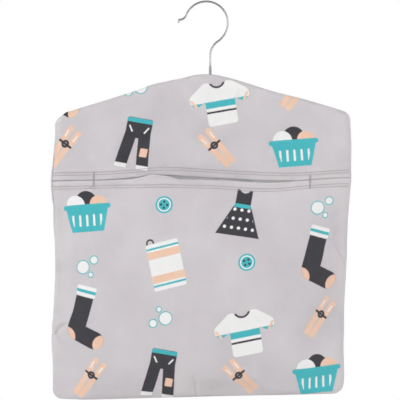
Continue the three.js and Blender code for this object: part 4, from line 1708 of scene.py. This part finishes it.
@dataclass(frozen=True)
class PrintedCotton:
    """Plain-weave cotton: matt, with a fine woven relief, soft-edged printed inks and a mottle that is partly
    its own uneven tone, partly painted wrinkle shade.
    """

    name: str = "printed_cotton"
    ground: str = "#CFCACD"
    # Darker grey of the mottle: partly the cotton's own tone, partly painted shade standing in for soft
    # wrinkles.
    mottle_and_painted_shade: str = "#C4BFC3"
    ink: WashdayPrint = WashdayPrint()
    ink_strength: float = 1.0
    ink_wobble_mm: float = 0.5
    roughness: float = 0.92
    specular: float = 0.15
    sheen: float = 0.06
    sheen_roughness: float = 0.5
    translucency: float = 0.9
    scatter_mm: float = 1.5
    thread_mm: float = 0.7  # coarser than the real weave, so that it shows
    fibre_mm: float = 1.8
    cloud_mm: float = 60.0
    slub_mm: float = 14.0
    cloud_range: tuple[float, float] = (0.3, 0.7)
    weave_range: tuple[float, float] = (0.2, 1.8)
    weave_shade: tuple[float, float] = (0.93, 1.06)
    relief_mm: float = 0.25
    relief_strength: float = 0.35

    def material(self) -> bpy.types.Material:
        """Makes the material.

        Returns:
            One side of the cloth.
        """
        made = bpy.data.materials.new(self.name)
        made.use_nodes = True
        tree = made.node_tree
        add = partial(add_node, tree)
        flat = add("ShaderNodeUVMap", uv_map=PATTERN)
        at = add("ShaderNodeVectorMath", {0: flat, "Scale": 1.0 / MM}, operation="SCALE")
        # Cloudy mottle: partly the cotton's own uneven tone, partly painted shade of soft wrinkles.
        clouds = add("ShaderNodeTexNoise", {"Vector": at, "Scale": 1.0 / self.cloud_mm, "Detail": 4.0})
        low, high = self.cloud_range
        cloudy = add("ShaderNodeMapRange", {"Value": clouds, "From Min": low, "From Max": high})
        colour = add("ShaderNodeMix", {0: cloudy, 6: linear(self.mottle_and_painted_shade), 7: linear(self.ground)},
                     data_type="RGBA")
        fibre = add("ShaderNodeTexNoise", {"Vector": at, "Scale": 1.0 / self.fibre_mm, "Detail": 2.0})
        wobble = add("ShaderNodeVectorMath", {0: fibre.outputs["Color"], 1: (self.ink_wobble_mm,) * 3, 2: at},
                     operation="MULTIPLY_ADD")
        soft = self.ink.edge_softness
        for hexed, shape in self.ink.layers(tree, wobble):
            edge = {"Value": shape, "From Min": soft, "From Max": -soft, "To Max": self.ink_strength}
            share = add("ShaderNodeMapRange", edge, interpolation_type="SMOOTHSTEP")
            colour = add("ShaderNodeMix", {0: share, 6: colour, 7: linear(hexed)}, data_type="RGBA")
        height, shade = self.weave(tree, at)
        woven = add("ShaderNodeMix", {0: 1.0, 6: colour, 7: shade}, data_type="RGBA", blend_type="MULTIPLY")
        relief = add("ShaderNodeBump", {"Height": height, "Strength": self.relief_strength,
                                        "Distance": self.relief_mm * MM})
        plug(tree, tree.nodes["Principled BSDF"],
             {"Base Color": woven, "Normal": relief, "Roughness": self.roughness,
              "Specular IOR Level": self.specular, "Sheen Weight": self.sheen,
              "Sheen Roughness": self.sheen_roughness, "Subsurface Weight": self.translucency,
              "Subsurface Radius": (1.0, 1.0, 1.0), "Subsurface Scale": self.scatter_mm * MM})
        return made

    def weave(self, tree: bpy.types.NodeTree, at: Source) -> tuple[bpy.types.Node, bpy.types.Node]:
        """The woven relief and the shade between its threads.

        Args:
            tree: the material's tree.
            at: the place on the flat cloth, in millimetres.
        Returns:
            A height and a grey to multiply the colour by.
        """
        add = partial(add_node, tree)
        wide = add("ShaderNodeVectorMath", {0: at, "Scale": math.pi / self.thread_mm}, operation="SCALE")
        threads = add("ShaderNodeVectorMath", {0: wide}, operation="SINE")
        parts = add("ShaderNodeSeparateXYZ", {0: threads}).outputs
        over = add("ShaderNodeMath", {0: parts["X"], 1: parts["Y"]}, operation="MULTIPLY")
        slubs = add("ShaderNodeTexNoise",
                    {"Vector": at, "Scale": 1.0 / self.slub_mm, "Detail": 6.0, "Roughness": 0.75})
        height = add("ShaderNodeMapRange", {"Value": over, "From Min": -1.0})
        uneven = add("ShaderNodeMath", {0: height, 1: slubs}, operation="ADD")
        (low, high), (dark, light) = self.weave_range, self.weave_shade
        shade = add("ShaderNodeMapRange",
                    {"Value": uneven, "From Min": low, "From Max": high, "To Min": dark, "To Max": light})
        return uneven, add("ShaderNodeCombineColor", {i: shade for i in range(3)})


@dataclass(frozen=True)
class GrainedFinish:
    """A finish whose colour, gloss and relief follow one stretched grain, in millimetres."""

    name: str
    dark: str
    light: str
    grain_mm: tuple[float, float, float]
    roughness: tuple[float, float]
    relief_mm: float
    relief_strength: float = 0.5
    grain_range: tuple[float, float] = (0.3, 0.7)
    metallic: float = 0.0
    specular: float = 0.5
    sheen: float = 0.0
    detail: float = 4.0
    on_pattern: bool = False

    def material(self) -> bpy.types.Material:
        """Makes the material.

        Returns:
            The material.
        """
        made = bpy.data.materials.new(self.name)
        made.use_nodes = True
        tree = made.node_tree
        add = partial(add_node, tree)
        if self.on_pattern:
            place = add("ShaderNodeUVMap", uv_map=PATTERN)
        else:
            place = add("ShaderNodeTexCoord").outputs["Object"]
        stretch = tuple(1.0 / (size * MM) for size in self.grain_mm)
        at = add("ShaderNodeVectorMath", {0: place, 1: stretch}, operation="MULTIPLY")
        grain = add("ShaderNodeTexNoise", {"Vector": at, "Scale": 1.0, "Detail": self.detail})
        (low, high), (glossy, dull) = self.grain_range, self.roughness
        spread = add("ShaderNodeMapRange", {"Value": grain, "From Min": low, "From Max": high})
        colour = add("ShaderNodeMix", {0: spread, 6: linear(self.dark), 7: linear(self.light)},
                     data_type="RGBA")
        rough = add("ShaderNodeMapRange", {"Value": spread, "To Min": dull, "To Max": glossy})
        relief = add("ShaderNodeBump", {"Height": spread, "Strength": self.relief_strength,
                                        "Distance": self.relief_mm * MM})
        plug(tree, tree.nodes["Principled BSDF"],
             {"Base Color": colour, "Roughness": rough, "Normal": relief, "Metallic": self.metallic,
              "Specular IOR Level": self.specular, "Sheen Weight": self.sheen})
        return made


# Right side of the cloth: matt printed cotton with a fine weave.
COTTON = PrintedCotton()
# Unprinted back of the cloth: paler, with the inks ghosting through.
COTTON_REVERSE = PrintedCotton("cotton_reverse", "#ECEAEB", "#E6E4E5", ink_strength=0.1)
# Spun polyester thread: a soft gloss broken up by its ply, drawn coarser than it is.
TOPSTITCH_THREAD = GrainedFinish("polyester_thread", "#958F93", "#B4AFB3", (0.6, 0.6, 0.6), (0.5, 0.75), 0.08,
                                 specular=0.35, sheen=0.1)
# Dense zigzag of the same thread, darker because it stands in its own shade.
TACK_THREAD = GrainedFinish("tack_thread", "#9A9496", "#B5B0B2", (0.5, 0.5, 0.5), (0.5, 0.75), 0.08,
                            specular=0.3, sheen=0.1)
# Raw cotton edge: matt, with broken ends of thread.
RAW_COTTON = GrainedFinish("raw_cotton_edge", "#BFBBBE", "#D9D6D8", (0.9, 0.9, 0.9), (0.9, 0.98), 0.15,
                           specular=0.15)
# Nickel-plated steel wire: a grey mirror dulled by fine lines from the drawing die.
PLATED_STEEL = GrainedFinish("nickel_plated_steel", "#949392", "#9E9D9C", (0.25, 9.0, 1.0), (0.36, 0.46),
                             0.001, metallic=1.0, on_pattern=True)
# Sanded beech, unvarnished: pale, close-grained, with short darker flecks along the bar.
BEECH = GrainedFinish("sanded_beech", "#B48C62", "#D2AF85", (28.0, 2.2, 1.3), (0.55, 0.7), 0.05,
                      specular=0.35, detail=6.0)


@dataclass(frozen=True)
class Lamp:
    """A square studio lamp, in metres and watts."""

    name: str
    place: tuple[float, float, float]
    watts: float
    size: float = 1.7
    aim: tuple[float, float, float] = (0.0, 0.0, -0.2)

    def build(self) -> None:
        """Hangs the lamp and turns it to the bag."""
        light = bpy.data.lights.new(self.name, "AREA")
        light.size = self.size
        light.energy = self.watts
        made = add_object(self.name, light)
        made.location = self.place
        made.rotation_euler = (Vector(self.aim) - Vector(self.place)).to_track_quat("-Z", "Y").to_euler()


@dataclass(frozen=True)
class Studio:
    """Camera, soft lamps and white surroundings, in metres."""

    middle_px: tuple[float, float] = (206.3, 2.5)
    distance: float = 1.6
    sensor_mm: float = 36.0
    lamps: tuple[Lamp, ...] = (Lamp("key_lamp", (-1.7, -1.5, 0.2), 39.6),
                               Lamp("fill_lamp", (1.7, -1.4, 0.0), 28.6),
                               Lamp("back_lamp", (0.5, 1.9, 0.1), 36.0))
    surround: float = 0.42
    ceiling: float = 0.03
    ceiling_rise: tuple[float, float] = (0.1, 0.6)
    line_height: float = 1.75
    floor_width: float = 8.0
    floor_colour: str = "#CDCCCA"
    floor_roughness: float = 0.9
    floor_mirrored: float = 0.6

    def build(self) -> None:
        """Sets up the view and the light."""
        bpy.context.scene.view_settings.view_transform = "Standard"
        self.camera()
        for lamp in self.lamps:
            lamp.build()
        self.surroundings()
        self.floor()

    def camera(self) -> None:
        """Straight on, from far enough that the bag looks flat, with one pixel to a millimetre."""
        lens = bpy.data.cameras.new("camera")
        lens.sensor_width = self.sensor_mm
        lens.lens = self.sensor_mm * self.distance / (IMAGE_PX * MM)
        made = add_object("camera", lens)
        x = (IMAGE_PX / 2 - self.middle_px[0]) * MM
        z = (self.middle_px[1] - IMAGE_PX / 2) * MM
        made.location = (x, -self.distance, z)
        made.rotation_euler = (math.pi / 2, 0.0, 0.0)
        bpy.context.scene.camera = made

    def rays(self, tree: bpy.types.NodeTree) -> tuple[bpy.types.NodeSocket, bpy.types.Node]:
        """Tells the camera's rays and those that a mirror or glass sends on from the rest.

        Args:
            tree: the node tree.
        Returns:
            1 for the camera's rays, and 1 for mirrored ones.
        """
        path = add_node(tree, "ShaderNodeLightPath").outputs
        mirrored = add_node(tree, "ShaderNodeMath",
                            {0: path["Is Glossy Ray"], 1: path["Is Transmission Ray"]}, operation="MAXIMUM")
        return path["Is Camera Ray"], mirrored

    def surroundings(self) -> None:
        """White to the camera, white with a dim ceiling to the metal, and plain light on the cloth."""
        world = bpy.data.worlds.new("studio")
        bpy.context.scene.world = world
        world.use_nodes = True
        tree = world.node_tree
        add = partial(add_node, tree)
        seen, mirrored = self.rays(tree)
        heading = add("ShaderNodeTexCoord").outputs["Generated"]
        height = add("ShaderNodeSeparateXYZ", {0: heading}).outputs["Z"]
        low, high = self.ceiling_rise
        ceiling = add("ShaderNodeMapRange", {"Value": height, "From Min": low, "From Max": high,
                                             "To Min": 1.0, "To Max": self.ceiling})
        lit = add("ShaderNodeMix", {0: mirrored, 2: self.surround, 3: ceiling})
        level = add("ShaderNodeMix", {0: seen, 2: lit, 3: 1.0})
        plug(tree, tree.nodes["Background"], {"Color": WHITE, "Strength": level})

    def floor(self) -> None:
        """A plain pale floor, as far down as a washing line hangs high, white to the camera and the metal."""
        plain = bpy.data.materials.new("pale_floor")
        plain.use_nodes = True
        tree = plain.node_tree
        seen, mirrored = self.rays(tree)
        glow = add_node(tree, "ShaderNodeMath", {0: mirrored, 1: self.floor_mirrored, 2: seen},
                        operation="MULTIPLY_ADD")
        plug(tree, tree.nodes["Principled BSDF"],
             {"Base Color": linear(self.floor_colour), "Roughness": self.floor_roughness,
              "Emission Color": WHITE, "Emission Strength": glow})
        half = self.floor_width / 2
        corners = [(x * half, y * half, -self.line_height) for x, y in ((-1, -1), (1, -1), (1, 1), (-1, 1))]
        mesh = bpy.data.meshes.new("floor")
        mesh.from_pydata(corners, [], [(0, 1, 2, 3)])
        mesh.materials.append(plain)
        add_object("floor", mesh)


# Creases that the cloth has kept from lying folded.
UPPER_CREASES = (Crease((31.5, -84.0), (21.0, -112.5), -1.1, 1.8),
                 Crease((73.0, -124.0), (57.0, -159.0), 1.0, 4.0))
LOWER_CREASES = (Crease((-158.0, -333.0), (-137.0, -319.5), 2.2, 2.4),
                 Crease((-155.0, -325.0), (-142.0, -343.0), 2.2, 2.4),
                 Crease((-13.5, -370.0), (-9.5, -397.0), 1.5, 1.8),
                 Crease((138.0, -263.0), (127.0, -235.0), 2.2, 2.6),
                 Crease((126.0, -240.0), (132.0, -224.0), 1.6, 2.4))


def cut_panels(cut: BagCut) -> tuple[Panel, Panel, Panel]:
    """Cuts the bag's three panels.

    Args:
        cut: how the bag is cut.
    Returns:
        The back, the front above the mouth and the front below it.
    """
    back = Panel("cotton_back", "back_panel", cut, cut.back, cut.base_at, cut.top_at, Side.BACK, Hem.NONE,
                 Drape(rows=64, outward_pull=-0.3, most_mm=1.4), (-5.0, 11.0), cell=2.0)
    upper = Panel("cotton_front_upper", "front_upper_panel", cut, cut.upper_front, cut.upper_edge,
                  cut.top_at, Side.FRONT, Hem.LOW, Drape(rows=22), (24.0, 31.5),
                  hem_creep=cut.upper_creep, creases=UPPER_CREASES)
    lower = Panel("cotton_front_lower", "front_lower_panel", cut, cut.lower_front, cut.base_at,
                  cut.lower_edge, Side.FRONT, Hem.HIGH, Drape(rows=44), (-4.5, 39.0),
                  hem_creep=cut.lower_creep, creases=LOWER_CREASES)
    return back, upper, lower


def main() -> None:
    """Builds every piece in order and reports it."""
    logging.basicConfig(level=logging.INFO)
    Studio().build()
    cut = BagCut(crown_z=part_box("front_upper_panel")[1][2] / MM)
    back, upper, lower = cut_panels(cut)
    printed, reverse = COTTON.material(), COTTON_REVERSE.material()
    sheets = [panel.build(printed, reverse) for panel in (back, upper, lower)]
    sewing = Sewing(cut, StitchTree(), TOPSTITCH_THREAD.material(), TACK_THREAD.material(),
                    RAW_COTTON.material())
    upper_rows = sewing.topstitching(upper, "upper_hem")
    lower_rows = sewing.topstitching(lower, "lower_hem")
    tacks = sewing.bar_tacks(upper, lower)
    seams = sewing.seams()
    hook = Hook(cut.crown_z, cut.stem_x).build(PLATED_STEEL.material())
    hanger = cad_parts["hanger_bar"]
    hanger.data.materials.clear()
    hanger.data.materials.append(BEECH.material())
    for piece in (*sheets, *upper_rows, *lower_rows, *tacks, *seams, hook, hanger):
        LOG.info("%s: %d faces", piece.name, len(piece.data.polygons))
    for panel, sheet, extras, held_by in zip((back, upper, lower), sheets, (seams, upper_rows, lower_rows),
                                             ("hanger_bar", "hanger_bar", "cotton_back")):
        width, length, area = panel.flat_size()
        LOG.info("%s: flat %.0f by %.0f mm", sheet.name, width / MM, length / MM)


if __name__ == "__main__":
    main()
